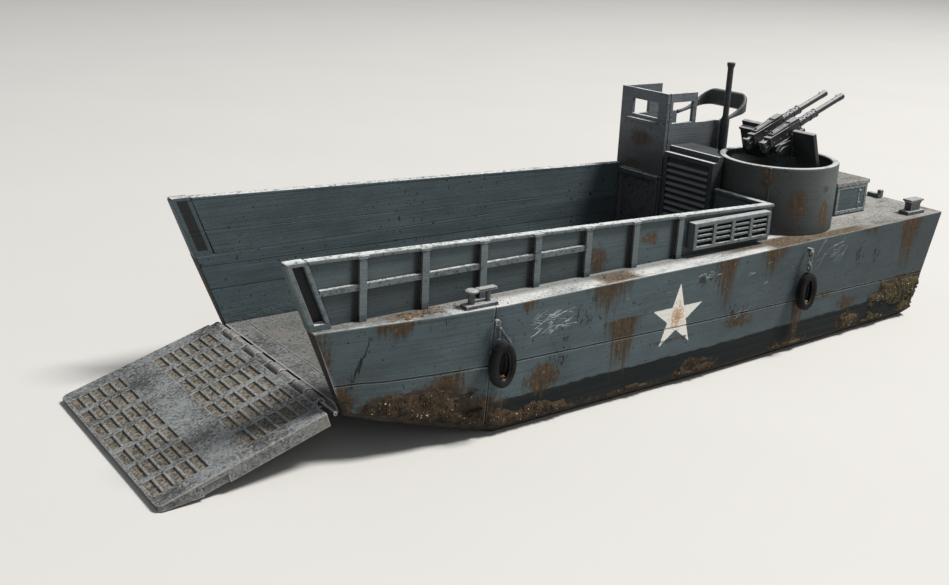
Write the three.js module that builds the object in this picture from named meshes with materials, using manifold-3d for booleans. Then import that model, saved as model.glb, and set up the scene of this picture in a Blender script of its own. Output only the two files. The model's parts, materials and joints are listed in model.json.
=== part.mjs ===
// Tabletop miniature of a landing craft: ramped bow, open well, steering console, gun tub.
// Units are millimetres. +X points to the bow, +Y to port, +Z up from the flat bottom.
// Inside the vessel group x is counted forward from the stern deck edge.

import * as THREE from 'three';
import { mergeVertices } from 'three/addons/utils/BufferGeometryUtils.js';
import Module from 'manifold-3d';

const wasm = await Module();
wasm.setup();

// Driving dimensions

const seatGap = 0.3;
const length = 246.2;
const deckZStern = 36.5;
const deckZBow = 35.3;
const sterncut = 9.0;
const stemRake = 0.38;
const stemTopZ = 52.1;
const keelBowZ = 12.3;
const keelRiseX = 190.0;
const sideDraft = 1.2;

const wellAftX = 83.0;
const wellHalf = 31.6;
const wellFloorZ = 14.8;
const floorThick = 0.9;
const floorAftX = 86.3;
const sillAftX = 226.0;

const coamingThick = 1.6;
const coamingAftZ = 47.4;
const ribX = 226.3;
const ribPitch = 17.2;
const ribCount = 7;
const ribWide = 2.0;
const ribProud = 1.4;
const ribTab = 1.5;
const capTall = 0.9;
const capProud = 1.0;
const midRailZ = 43.1;
const midRailTall = 1.5;
const midRailProud = 1.0;
const postDeep = 5.4;
const postFace = 1.3;
const postFlange = 1.2;
const postOuterHalf = 34.8;
const postSlotHalf = 32.7;

const rampLength = 45.5;
const rampHalf = 34.4;
const rampRoot = 2.0;
const rampThick = 3.6;
const rampTop = 1.3;
const rampTipThick = 1.4;
const rampTaper = 10.5;
const rampDrop = THREE.MathUtils.degToRad(17.0);
const hingeProud = 1.7;
const hingeZ = 13.6;
const knuckleRadius = 1.25;
const pinRadius = 0.55;
const pinBore = 0.8;
const knuckleCount = 5;
const knuckleWide = 6.0;

const consolePort = -11.4;
const consoleStarboard = -33.0;
const consoleTopZ = 73.8;
const consoleLedgeZ = 46.8;
const consoleAftX = 60.0;
const wingAftPort = 72.2;
const wingAftStarboard = 68.3;
const sideWallZ = 63.8;
const plate = 1.2;

const tubX = 64.2;
const tubY = 18.1;
const tubRadius = 18.7;
const tubWall = 1.3;
const tubTopZ = 57.2;
const tubFloorZ = 44.0;

const pedestalTopZ = 58.0;
const gunElevation = THREE.MathUtils.degToRad(19.9);
const trunnionX = 64.0;
const trunnionZ = 64.3;
const barrelRise = 2.7;
const gunSpacing = 6.6;

const plain = { roughness: 0.8, metalness: 0.0 };
const seaGrey = new THREE.MeshStandardMaterial({ color: 0x4d5a63, ...plain });
const deckGrey = new THREE.MeshStandardMaterial({ color: 0x6a6a66, ...plain });
const darkGrey = new THREE.MeshStandardMaterial({ color: 0x37424a, ...plain });
const gunBlack = new THREE.MeshStandardMaterial({ color: 0x26292c, roughness: 0.6, metalness: 0.2 });
const tyreBlack = new THREE.MeshStandardMaterial({ color: 0x1d1e1f, ...plain });

// Geometry helpers

function toSolid(geometry) {
  const bare = geometry.clone();
  bare.deleteAttribute('normal');
  bare.deleteAttribute('uv');
  const merged = mergeVertices(bare, 1e-5);
  const vertProperties = new Float32Array(merged.attributes.position.array);
  const triVerts = new Uint32Array(merged.index.array);
  return new wasm.Manifold(new wasm.Mesh({ numProp: 3, vertProperties, triVerts }));
}

function toGeometry(solid) {
  const mesh = solid.getMesh();
  const geometry = new THREE.BufferGeometry();
  geometry.setAttribute('position', new THREE.BufferAttribute(new Float32Array(mesh.vertProperties), 3));
  geometry.setIndex(new THREE.BufferAttribute(new Uint32Array(mesh.triVerts), 1));
  return geometry;
}

function join(geometries) {
  return toGeometry(geometries.map(toSolid).reduce((sum, next) => sum.add(next)));
}

function cut(geometry, tools) {
  return toGeometry(tools.map(toSolid).reduce((rest, tool) => rest.subtract(tool), toSolid(geometry)));
}

function box(x0, x1, y0, y1, z0, z1) {
  const geometry = new THREE.BoxGeometry(x1 - x0, y1 - y0, z1 - z0);
  return geometry.translate((x0 + x1) / 2, (y0 + y1) / 2, (z0 + z1) / 2);
}

// A flat outline of [x, z] points, pushed from y0 to y1.
function sidePlate(outline, y0, y1) {
  const shape = new THREE.Shape(outline.map(([x, z]) => new THREE.Vector2(x, z)));
  const geometry = new THREE.ExtrudeGeometry(shape, { depth: y1 - y0, bevelEnabled: false });
  return geometry.rotateX(Math.PI / 2).translate(0, y1, 0);
}

function rod(from, to, radius, sides = 16, endRadius = radius) {
  const start = new THREE.Vector3(...from);
  const axis = new THREE.Vector3(...to).sub(start);
  const geometry = new THREE.CylinderGeometry(endRadius, radius, axis.length(), sides);
  geometry.translate(0, axis.length() / 2, 0);
  const turn = new THREE.Quaternion().setFromUnitVectors(new THREE.Vector3(0, 1, 0), axis.normalize());
  return geometry.applyQuaternion(turn).translate(...from);
}

// A ring about the upright axis through (x, y), from a closed [radius, z] profile.
function lathe(x, y, profile, sides) {
  const points = profile.map(([radius, z]) => new THREE.Vector2(radius, z));
  const geometry = new THREE.LatheGeometry(points, sides);
  return geometry.rotateX(Math.PI / 2).translate(x, y, 0);
}

function mirrored(geometry) {
  const copy = geometry.clone().scale(1, -1, 1);
  const turned = copy.index ? copy : mergeVertices(copy);
  const order = turned.index.array;
  for (let i = 0; i < order.length; i += 3) {
    [order[i], order[i + 1]] = [order[i + 1], order[i]];
  }
  return turned;
}

// Lines of the craft

const deckZ = (x) => deckZStern + (deckZBow - deckZStern) * x / length;
const coamingZ = (x) => coamingAftZ + (stemTopZ - coamingAftZ) * (x - wellAftX) / (length - wellAftX);
const stemX = (z) => length - stemRake * (stemTopZ - z);
const keelZ = (x) => Math.max(0, keelBowZ * (x - keelRiseX) / (stemX(keelBowZ) - keelRiseX));

const stemUp = new THREE.Vector2(stemRake, 1).normalize();
const hingeX = stemX(hingeZ + hingeProud * stemUp.x) + hingeProud * stemUp.y;
const rampTipX = hingeX + rampLength * Math.cos(rampDrop) + rampTop * Math.sin(rampDrop);
const midX = rampTipX / 2;

// Places that several pieces share
const pocketZ = wellFloorZ - floorThick - seatGap;
const bulkheadAftX = wellAftX + seatGap;
const bulkheadForeX = bulkheadAftX + plate;
const panelX = bulkheadForeX + seatGap;

// Hull

// Columns: x at deck, x at keel, half beam at deck, keel height, chine chamfer.
const hullStations = [
  [0, sterncut, 38.8, 0, 2.4],
  [60, 60, 40.6, 0, 2.4],
  [110, 110, 42.0, 0, 2.4],
  [keelRiseX, keelRiseX, 42.0, 0, 2.4],
  [208, 208, 40.6, keelZ(208), 2.0],
  [222, 222, 38.7, keelZ(222), 1.6],
  [stemX(deckZBow), stemX(keelBowZ), 35.9, keelBowZ, 1.2],
];

function hullRing([xDeck, xKeel, half, zKeel, chamfer]) {
  const top = deckZ(xDeck);
  const atZ = (z) => xKeel + (xDeck - xKeel) * (z - zKeel) / (top - zKeel);
  const low = half - sideDraft;
  const side = (sign) => [
    [xKeel, sign * (low - chamfer), zKeel],
    [atZ(zKeel + chamfer), sign * low, zKeel + chamfer],
    [xDeck, sign * half, top],
  ];
  return [...side(1), ...side(-1).reverse()];
}

function loft(rings) {
  const size = rings[0].length;
  const triangles = [];
  for (let r = 0; r < rings.length - 1; r += 1) {
    for (let i = 0; i < size; i += 1) {
      const j = (i + 1) % size;
      triangles.push([rings[r][i], rings[r][j], rings[r + 1][i]]);
      triangles.push([rings[r][j], rings[r + 1][j], rings[r + 1][i]]);
    }
  }
  const first = rings[0];
  const last = rings[rings.length - 1];
  for (let i = 1; i < size - 1; i += 1) {
    triangles.push([first[0], first[i + 1], first[i]]);
    triangles.push([last[0], last[i], last[i + 1]]);
  }
  const geometry = new THREE.BufferGeometry();
  geometry.setAttribute('position', new THREE.Float32BufferAttribute(triangles.flat(2), 3));
  return mergeVertices(geometry, 1e-5);
}

function hull() {
  const body = loft(hullStations.map(hullRing));
  const well = box(wellAftX, length + 10, -wellHalf, wellHalf, pocketZ, 60);
  const sillBed = box(sillAftX, length + 10, -wellHalf, wellHalf, -5, wellFloorZ);
  return cut(body, [well, sillBed]);
}

function wellFloor() {
  const half = wellHalf - seatGap;
  return box(floorAftX, sillAftX - seatGap / 2, -half, half, pocketZ + seatGap, wellFloorZ);
}

// Bow sill and ramp hinge

function knuckleCentres(offset) {
  const pitch = 2 * rampHalf / (knuckleCount * 2);
  return Array.from({ length: knuckleCount }, (_, i) => -rampHalf + pitch * (2 * i + offset));
}

function knuckle(y, wide) {
  return rod([hingeX, y - wide / 2, hingeZ], [hingeX, y + wide / 2, hingeZ], knuckleRadius);
}

function hingeBore() {
  return rod([hingeX, -rampHalf - 5, hingeZ], [hingeX, rampHalf + 5, hingeZ], pinBore);
}

const sillKnuckles = knuckleCentres(1.5).slice(0, knuckleCount - 1);
const rampKnuckles = knuckleCentres(0.5);

function bowSill() {
  const half = wellHalf - seatGap;
  const aft = sillAftX + seatGap / 2;
  const faceX = stemX(wellFloorZ);
  const slab = sidePlate([
    [aft, keelZ(aft)],
    [stemX(keelBowZ), keelBowZ],
    [faceX, wellFloorZ],
    [aft, wellFloorZ],
  ], -half, half);
  const lug = (y) => {
    const wide = knuckleWide;
    return sidePlate([
      [faceX - 3, hingeZ - knuckleRadius * 0.8],
      [hingeX, hingeZ - knuckleRadius * 0.8],
      [hingeX, hingeZ + knuckleRadius * 0.8],
      [faceX - 3, hingeZ + knuckleRadius * 0.8],
    ], y - wide / 2, y + wide / 2);
  };
  const parts = sillKnuckles.flatMap((y) => [lug(y), knuckle(y, knuckleWide)]);
  return cut(join([slab, ...parts]), [hingeBore()]);
}

function hingePin() {
  return rod([hingeX, -rampHalf, hingeZ], [hingeX, rampHalf, hingeZ], pinRadius);
}

// Ramp, drawn along its own length from the hinge axis, then turned down to the ground

function rampPlate() {
  const low = rampTop - rampThick;
  const plateBody = sidePlate([
    [rampRoot, low],
    [rampLength - rampTaper, low],
    [rampLength, rampTop - rampTipThick],
    [rampLength, rampTop],
    [rampRoot, rampTop],
  ], -rampHalf, rampHalf);
  const eye = (y) => {
    const wide = knuckleWide;
    const bar = sidePlate([
      [0, -knuckleRadius * 0.85],
      [rampRoot + 1, -knuckleRadius * 0.85],
      [rampRoot + 1, knuckleRadius * 0.85],
      [0, knuckleRadius * 0.85],
    ], y - wide / 2, y + wide / 2);
    return [bar, rod([0, y - wide / 2, 0], [0, y + wide / 2, 0], knuckleRadius)];
  };
  const bore = rod([0, -rampHalf - 5, 0], [0, rampHalf + 5, 0], pinBore);
  return cut(join([plateBody, ...rampKnuckles.flatMap(eye)]), [bore]);
}

// Recessed tread: rows of shallow pits sunk in the upper face, near the hinge and near the tip.
const treadDeep = 0.5;
const treadPit = { rowPitch: 2.9, long: 2.2, columnPitch: 8.7, wide: 6.9, columns: 7 };
// Columns: distance of the first row from the hinge, number of rows.
const treadZones = [
  [4.2, 6],
  [30.8, 5],
];

function rampTread(plateGeometry) {
  const pits = [];
  for (const [first, rows] of treadZones) {
    for (let row = 0; row < rows; row += 1) {
      const s = first + row * treadPit.rowPitch;
      for (let column = 0; column < treadPit.columns; column += 1) {
        const y = (column - (treadPit.columns - 1) / 2) * treadPit.columnPitch;
        const half = treadPit.wide / 2;
        pits.push(box(s, s + treadPit.long, y - half, y + half, rampTop - treadDeep, rampTop + 1));
      }
    }
  }
  return cut(plateGeometry, pits);
}

// Shallow notches in the side edges, where a lashing would be made fast.
const rampNotch = { from: 28.6, to: 35.1, deep: 0.6 };

function rampSides(plateGeometry) {
  const n = rampNotch;
  const notch = (y0, y1) => box(n.from, n.to, y0, y1, rampTop - rampThick - 1, rampTop - 1.2);
  const starboard = notch(-rampHalf - 1, -rampHalf + n.deep);
  const port = notch(rampHalf - n.deep, rampHalf + 1);
  return cut(plateGeometry, [port, starboard]);
}

// Coamings with ribs, rails and cap

function coaming() {
  const inner = wellHalf;
  const outer = wellHalf + coamingThick;
  const foot = (x) => deckZ(x) + seatGap;
  const foreTopX = stemX(stemTopZ) - postDeep - seatGap;
  const foreFootX = stemX(deckZBow) - postDeep - seatGap;
  const aftX = bulkheadAftX + 0.15;
  const wall = sidePlate([
    [aftX, foot(aftX)],
    [foreFootX, foot(foreFootX)],
    [foreTopX - stemRake * capTall / 2, coamingZ(foreTopX) - capTall / 2],
    [aftX, coamingZ(aftX) - capTall / 2],
  ], inner, outer);
  const capForeX = foreTopX - 0.15;
  const cap = sidePlate([
    [bulkheadAftX, coamingZ(bulkheadAftX) - capTall],
    [capForeX - stemRake * capTall, coamingZ(foreTopX) - capTall],
    [capForeX, coamingZ(foreTopX)],
    [bulkheadAftX, coamingZ(bulkheadAftX)],
  ], inner, outer + capProud);
  const ribs = Array.from({ length: ribCount }, (_, i) => {
    const x = ribX - i * ribPitch;
    const low = foot(x - ribWide / 2) + 0.15;
    return box(x - ribWide / 2, x + ribWide / 2, inner + 0.2, outer + ribProud, low, coamingZ(x) - 0.6 * capTall);
  });
  const tabs = Array.from({ length: ribCount }, (_, i) => {
    const x = ribX - i * ribPitch;
    const high = coamingZ(x - ribTab) - 0.1;
    return box(x - ribTab, x + ribTab, outer, outer + ribProud + 0.2, high - capTall * 0.7, high);
  });
  const railAft = ribX - 4 * ribPitch;
  const railFore = foreFootX + stemRake * (midRailZ - deckZBow);
  const rail = box(railAft, railFore - 0.2, inner + 0.2, outer + midRailProud, midRailZ, midRailZ + midRailTall);
  return join([wall, cap, rail, ...ribs, ...tabs]);
}

// Bow post: a channel that follows the stem, open to the side

function bowPost() {
  const foot = deckZBow + seatGap;
  const along = (aft0, aft1, z0, z1) => [
    [stemX(z0) - aft1, z0],
    [stemX(z0) - aft0, z0],
    [stemX(z1) - aft0, z1],
    [stemX(z1) - aft1, z1],
  ];
  const top = stemTopZ;
  const nose = postFace * 0.7;
  const block = sidePlate([
    [stemX(foot) - postDeep, foot],
    [stemX(foot), foot],
    [stemX(top - nose), top - nose],
    [stemX(top - nose * 0.3) - nose * 0.3, top - nose * 0.3],
    [stemX(top) - nose, top],
    [stemX(top) - postDeep, top],
  ], wellHalf, postOuterHalf);
  const slot = sidePlate(along(postFace, postDeep - postFlange, foot + 1.2, top - capTall), postSlotHalf, 40);
  return cut(block, [slot]);
}

// Aft end of the well

const ventPort = 11.2;
const ventStarboard = -10.3;
const ventFrontX = 86.6;
const ventFrontZ = 55.5;
const ventFootZ = 26.0;
const ventBackX = 74.0;
const ventBackZ = 57.3;
const ventStepX = 84.3;
const ventFrame = 1.6;
const ventDeep = 1.2;

// The bulkhead has a curb that meets the well floor, and a cap rail to port of the vent housing.
function bulkhead() {
  const half = wellHalf - seatGap;
  const foot = pocketZ + seatGap;
  const wall = box(bulkheadAftX, bulkheadForeX, -half, half, foot, coamingAftZ);
  const curb = box(bulkheadForeX - 0.1, floorAftX - seatGap, consolePort + seatGap, half, foot, wellFloorZ);
  const cap = box(bulkheadAftX, bulkheadForeX + capProud, ventPort + seatGap, half, coamingAftZ - capTall, coamingAftZ);
  return join([wall, curb, cap]);
}

function ventHousing() {
  const sill = deckZ(ventBackX) + seatGap;
  const aboveDeck = sidePlate([
    [ventBackX, sill],
    [wellAftX, sill],
    [wellAftX, coamingAftZ + seatGap],
    [ventFrontX, coamingAftZ + seatGap],
    [ventFrontX, ventFrontZ],
    [ventStepX, ventFrontZ],
    [ventStepX, ventBackZ],
    [ventBackX, ventBackZ],
  ], ventStarboard, ventPort);
  const faceBox = box(panelX, ventFrontX, ventStarboard, ventPort, ventFootZ, coamingAftZ + 1);
  const low = ventFootZ + ventFrame;
  const y0 = ventStarboard + ventFrame;
  const y1 = ventPort - ventFrame;
  const recess = box(ventFrontX - ventDeep, ventFrontX + 1, y0, y1, low, ventFrontZ - ventFrame);
  const tubClearance = rod([tubX, tubY, 0], [tubX, tubY, 100], tubRadius + 2 * seatGap, 64);
  return cut(join([aboveDeck, faceBox]), [recess, tubClearance]);
}

const ventSlats = { count: 12, first: 28.4, pitch: 2.1, tall: 1.1 };

function ventLouvres() {
  const y0 = ventStarboard + ventFrame + seatGap;
  const y1 = ventPort - ventFrame - seatGap;
  const x0 = ventFrontX - ventDeep + seatGap;
  const low = ventFootZ + ventFrame + seatGap;
  const back = box(x0, x0 + 0.35, y0, y1, low, ventFrontZ - ventFrame - seatGap);
  const slats = Array.from({ length: ventSlats.count }, (_, i) => {
    const z = ventSlats.first + i * ventSlats.pitch;
    return sidePlate([
      [x0 + 0.1, z],
      [x0 + 1.0, z - 0.2],
      [x0 + 1.0, z + 0.3],
      [x0 + 0.1, z + ventSlats.tall],
    ], y0, y1);
  });
  return join([back, ...slats]);
}

// Side louvre boxes on the outer faces of the coamings

const sideVent = { aft: 87.0, fore: 119.4, low: 38.3, high: 46.1, deep: 2.9, frame: 1.3, bays: 4 };
const sideSlats = { count: 4, first: 40.3, pitch: 1.5, tall: 0.7 };

function sideVentBox() {
  const v = sideVent;
  const y0 = wellHalf + coamingThick + seatGap;
  const y1 = y0 + v.deep;
  const body = box(v.aft, v.fore, y0, y1, v.low, v.high);
  const pitch = (v.fore - v.aft - v.frame) / v.bays;
  const bays = Array.from({ length: v.bays }, (_, i) => {
    const x = v.aft + v.frame + i * pitch;
    return box(x, x + pitch - v.frame, y1 - 1.4, y1 + 1, v.low + 0.9, v.high - 0.9);
  });
  const slats = Array.from({ length: sideSlats.count }, (_, i) => {
    const z = sideSlats.first + i * sideSlats.pitch;
    return box(v.aft + 0.5, v.fore - 0.5, y1 - 1.5, y1 - 0.3, z, z + sideSlats.tall);
  });
  return join([cut(body, bays), ...slats]);
}

// Steering console

const windowFront = { y0: -27.5, y1: -15.6, z0: 65.3, z1: 70.3 };
const windowSill = { y0: -31.1, y1: -15.2, z0: 63.5, z1: 64.2, proud: 0.5 };
const windowSide = { x0: 74.0, x1: 83.3, z0: 64.1, z1: 70.9 };
const lowerPost = 5.0;

// Above the coaming the front panel is as wide as the whole console.
function consoleFront() {
  const x0 = panelX;
  const x1 = panelX + plate;
  const overCap = coamingZ(x1) + seatGap;
  const lower = box(x0, x1, seatGap - wellHalf, consolePort, consoleLedgeZ, overCap + 0.5);
  const upper = box(x0, x1, consoleStarboard, consolePort, overCap, consoleTopZ);
  const w = windowFront;
  const opening = box(x0 - 1, x1 + 1, w.y0, w.y1, w.z0, w.z1);
  const ledge = windowSill;
  const sill = box(x0 + 0.2, x1 + ledge.proud, ledge.y0, ledge.y1, ledge.z0, ledge.z1);
  return join([cut(join([lower, upper]), [opening]), sill]);
}

function consoleLower() {
  const x0 = panelX;
  const x1 = panelX + plate;
  const y0 = seatGap - wellHalf;
  const z0 = pocketZ + seatGap;
  const z1 = consoleLedgeZ - seatGap;
  const panel = box(x0, x0 + 0.7, y0, consolePort, z0, z1);
  const frame = [
    box(x0, x1, y0, y0 + 1.6, z0, z1),
    box(x0, x1, consolePort - lowerPost, consolePort, z0, z1),
    box(x0, x1, y0, consolePort, z1 - 1.2, z1),
    box(x0, x1, y0, consolePort, z0, wellFloorZ + 2.4),
  ];
  return join([panel, ...frame]);
}

function consoleSide(y0, wingAftX) {
  const foot = deckZ(consoleAftX) + seatGap;
  const wall = join([
    box(consoleAftX, wellAftX, y0, y0 + plate, foot, sideWallZ),
    box(wingAftX, bulkheadForeX, y0, y0 + plate, coamingZ(panelX) + seatGap, consoleTopZ),
  ]);
  const w = windowSide;
  return cut(wall, [box(w.x0, w.x1, y0 - 1, y0 + plate + 1, w.z0, w.z1)]);
}

// The raised block that the helm stands on
function consoleFloor() {
  const y0 = consoleStarboard + plate + seatGap;
  const y1 = consolePort - plate - seatGap;
  return box(consoleAftX, wellAftX, y0, y1, deckZ(consoleAftX) + seatGap, consoleLedgeZ);
}

// Exhaust pipe and the guard band behind the helm

const pipe = { x: 60.1, y: -9.4, topZ: 83.2, stepZ: 64.2, thin: 1.0, thick: 1.5, lip: 1.35, foot: 1.7 };

function exhaustPipe() {
  const foot = deckZ(pipe.x) + seatGap;
  return lathe(pipe.x, pipe.y, [
    [0, foot],
    [pipe.foot, foot],
    [pipe.foot, foot + 1.2],
    [pipe.thick, foot + 1.2],
    [pipe.thick, pipe.stepZ],
    [pipe.thin, pipe.stepZ + 1.2],
    [pipe.thin, pipe.topZ - 1.8],
    [pipe.lip, pipe.topZ - 0.9],
    [pipe.lip, pipe.topZ],
    [0, pipe.topZ],
  ], 20);
}

// A padded rail bent round the helm; its two thin arms drop towards the console.
const guard = { aftX: 44.6, corner: 5.0, thick: 1.5, edge: 0.45 };
const guardFore = { x: consoleAftX - seatGap, low: 62.6, high: 63.9 };
const guardAft = { low: 65.6, high: 71.3 };
const guardSteps = { corner: 6, arm: 4 };

function guardRing(x, y, outX, outY) {
  const share = (guardFore.x - x) / (guardFore.x - guard.aftX - guard.thick / 2);
  const low = guardFore.low + (guardAft.low - guardFore.low) * share;
  const high = guardFore.high + (guardAft.high - guardFore.high) * share ** 2;
  const half = guard.thick / 2;
  const e = guard.edge;
  const section = [
    [half, low + e],
    [half, high - e],
    [half - e, high],
    [e - half, high],
    [-half, high - e],
    [-half, low + e],
    [e - half, low],
    [half - e, low],
  ];
  return section.map(([out, z]) => [x + outX * out, y + outY * out, z]);
}

function guardBand() {
  const half = (consolePort - consoleStarboard - guard.thick) / 2;
  const radius = guard.corner - guard.thick / 2;
  const cornerX = guard.aftX + guard.corner;
  const rings = [];
  for (const side of [-1, 1]) {
    const cornerY = (consoleStarboard + consolePort) / 2 + side * (half - radius);
    const arc = Array.from({ length: guardSteps.corner + 1 }, (_, i) => {
      const angle = Math.PI / 2 * (1 + i / guardSteps.corner);
      const outX = Math.cos(angle);
      const outY = side * Math.sin(angle);
      return guardRing(cornerX + radius * outX, cornerY + radius * outY, outX, outY);
    });
    const arm = Array.from({ length: guardSteps.arm }, (_, i) => {
      const x = guardFore.x + (cornerX - guardFore.x) * i / guardSteps.arm;
      return guardRing(x, cornerY + side * radius, 0, side);
    });
    rings.push(...(side < 0 ? [...arm, ...arc] : [...arc.reverse(), ...arm.reverse()]));
  }
  return loft(rings);
}

// Gun tub

function gunTub() {
  const inner = tubRadius - tubWall;
  return lathe(tubX, tubY, [
    [inner, deckZ(tubX) + seatGap + 0.3],
    [tubRadius, deckZ(tubX) + seatGap + 0.3],
    [tubRadius, tubTopZ],
    [inner, tubTopZ],
    [inner, deckZ(tubX) + seatGap + 0.3],
  ], 64);
}

function tubFloor() {
  const radius = tubRadius - tubWall - seatGap;
  const foot = deckZ(tubX) + seatGap + 0.3;
  return rod([tubX, tubY, foot], [tubX, tubY, tubFloorZ], radius, 64);
}

function pedestal() {
  const foot = tubFloorZ + seatGap;
  return lathe(tubX, tubY, [
    [0, foot],
    [5.4, foot],
    [5.4, foot + 0.9],
    [3.0, foot + 2.0],
    [2.3, foot + 5.0],
    [2.1, pedestalTopZ - 2.4],
    [3.0, pedestalTopZ - 1.6],
    [3.0, pedestalTopZ],
    [0, pedestalTopZ],
  ], 24);
}

// Gun carriage: a bed and yoke that turn on the pedestal.
// Inner and outer are half widths from the middle of the tub.
const yoke = { inner: 4.95, outer: 5.95, topZ: 66.4, bedTall: 1.6, shaft: 0.7, bore: 1.0 };

function gunCarriage() {
  const foot = pedestalTopZ + seatGap;
  const bed = box(tubX - 3.4, tubX + 1.4, tubY - yoke.outer, tubY + yoke.outer, foot, foot + yoke.bedTall);
  const arm = (side) => {
    const y = tubY + side * (yoke.inner + yoke.outer) / 2;
    const half = (yoke.outer - yoke.inner) / 2;
    return sidePlate([
      [tubX - 3.3, foot + 0.6],
      [tubX + 1.3, foot + 0.6],
      [trunnionX + 2.2, trunnionZ - 1.4],
      [trunnionX + 2.2, trunnionZ + 0.8],
      [trunnionX + 1.2, yoke.topZ],
      [trunnionX - 1.2, yoke.topZ],
      [trunnionX - 2.2, trunnionZ + 0.8],
      [trunnionX - 2.2, trunnionZ - 1.4],
    ], y - half, y + half);
  };
  const bore = rod([trunnionX, tubY - 9, trunnionZ], [trunnionX, tubY + 9, trunnionZ], yoke.bore, 20);
  return cut(join([bed, arm(1), arm(-1)]), [bore]);
}

// Guns, cradle and shields are drawn round the trunnion: x runs from it towards the muzzles,
// y is the half width, and z is square to the barrels.
const gun = { blockAft: -13.1, breech: -9.9, receiverFore: 4.1, sleeveFore: 12.2, muzzle: 25.8 };

function gunTube(side) {
  const y = side * gunSpacing / 2;
  const g = gun;
  const z = barrelRise;
  const receiver = box(g.breech, g.receiverFore, y - 1.25, y + 1.25, z - 1.7, z + 1.3);
  const cover = box(g.breech + 0.8, g.receiverFore - 4.4, y - 0.95, y + 0.95, z + 1.2, z + 1.8);
  const feed = box(g.receiverFore - 4.6, g.receiverFore - 0.5, y - 1.2, y + 1.2, z + 1.2, z + 2.3);
  const collar = rod([g.receiverFore - 0.4, y, z], [g.receiverFore + 1.0, y, z], 1.35, 14);
  const sleeve = rod([g.receiverFore + 0.8, y, z], [g.sleeveFore, y, z], 1.15, 14);
  const barrel = rod([g.sleeveFore - 0.4, y, z], [g.muzzle - 2.2, y, z], 0.75, 14);
  const tip = rod([g.muzzle - 2.6, y, z], [g.muzzle, y, z], 0.8, 14, 1.05);
  const block = box(g.blockAft, g.breech + 0.3, y - 1.0, y + 1.0, z - 2.9, z + 0.2);
  return join([receiver, cover, feed, collar, sleeve, barrel, tip, block]);
}

function gunCradle() {
  const half = yoke.inner - seatGap;
  const shaft = rod([0, -yoke.outer, 0], [0, yoke.outer, 0], yoke.shaft, 16);
  const tray = box(-8.5, 5.5, -half, half, -0.6, 0.5);
  return join([shaft, tray]);
}

// Columns of sizes: plate across the line of fire, and the ear that the shaft carries it by.
const shield = { aft: -2.1, fore: -0.7, inner: 6.25, outer: 14.3, low: -9.0, high: 3.2 };
const shieldEar = { fore: 1.1, outer: 7.4, half: 1.2 };
const ammoBox = { aft: -4.0, inner: 7.0, outer: 13.7, low: -6.6, high: 1.9, lid: 0.7, lidProud: 0.25 };

// A box that lies between two half widths on one side.
function sideBox(side, x0, x1, inner, outer, z0, z1) {
  return box(x0, x1, Math.min(side * inner, side * outer), Math.max(side * inner, side * outer), z0, z1);
}

function shieldPlate(side) {
  const s = shield;
  const face = sideBox(side, s.aft, s.fore, s.inner, s.outer, s.low, s.high);
  const ear = sideBox(side, s.aft + 0.3, shieldEar.fore, s.inner, shieldEar.outer, -shieldEar.half, shieldEar.half);
  return join([face, ear]);
}

// One shield carries an ammunition box on its face towards the breech.
function boxedShieldPlate(side) {
  const a = ammoBox;
  const p = a.lidProud;
  const bin = sideBox(side, a.aft, shield.aft + 0.1, a.inner, a.outer, a.low, a.high - a.lid);
  const lid = sideBox(side, a.aft - p, shield.aft + 0.1, a.inner - p, a.outer + p, a.high - a.lid, a.high);
  return join([shieldPlate(side), bin, lid]);
}

// Deck fittings

const hatch = { x0: 24.9, x1: 41.2, half: 25.2, topZ: 47.6, lid: 1.0 };

function hatchBox() {
  return box(hatch.x0, hatch.x1, -hatch.half, hatch.half, deckZ(hatch.x0) + seatGap, hatch.topZ - hatch.lid - seatGap);
}

function hatchLid() {
  const lip = 0.4;
  return box(hatch.x0 - lip, hatch.x1 + lip, -hatch.half - lip, hatch.half + lip, hatch.topZ - hatch.lid, hatch.topZ);
}

// A square stern post whose cap flares out
const sternPost = { base: [9.1, 4.0], post: [5.0, 2.7], cap: [6.9, 3.6], baseTall: 0.9, neckTall: 3.3, tall: 4.7 };

function sternBollard(x, y) {
  const p = sternPost;
  const foot = deckZ(x - p.base[0] / 2) + seatGap;
  const block = ([long, wide], z0, z1) => box(x - long / 2, x + long / 2, y - wide / 2, y + wide / 2, foot + z0, foot + z1);
  const flare = sidePlate([
    [x - p.post[0] / 2, foot + p.neckTall],
    [x + p.post[0] / 2, foot + p.neckTall],
    [x + p.cap[0] / 2, foot + p.tall - 0.5],
    [x - p.cap[0] / 2, foot + p.tall - 0.5],
  ], y - p.post[1] / 2 - 0.1, y + p.post[1] / 2 + 0.1);
  const base = block(p.base, 0, p.baseTall);
  const post = block(p.post, p.baseTall - 0.2, p.tall - 0.2);
  const cap = block(p.cap, p.tall - 0.6, p.tall);
  return join([base, post, flare, cap]);
}

// A bow bollard: a fore post with a round cap, and a thinner aft post with a bar cap
const bowPosts = { baseLong: 9.5, baseWide: 3.0, baseTall: 0.7, foreX: 2.5, aftX: -2.5, capZ: 3.7, tall: 4.5 };

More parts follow.
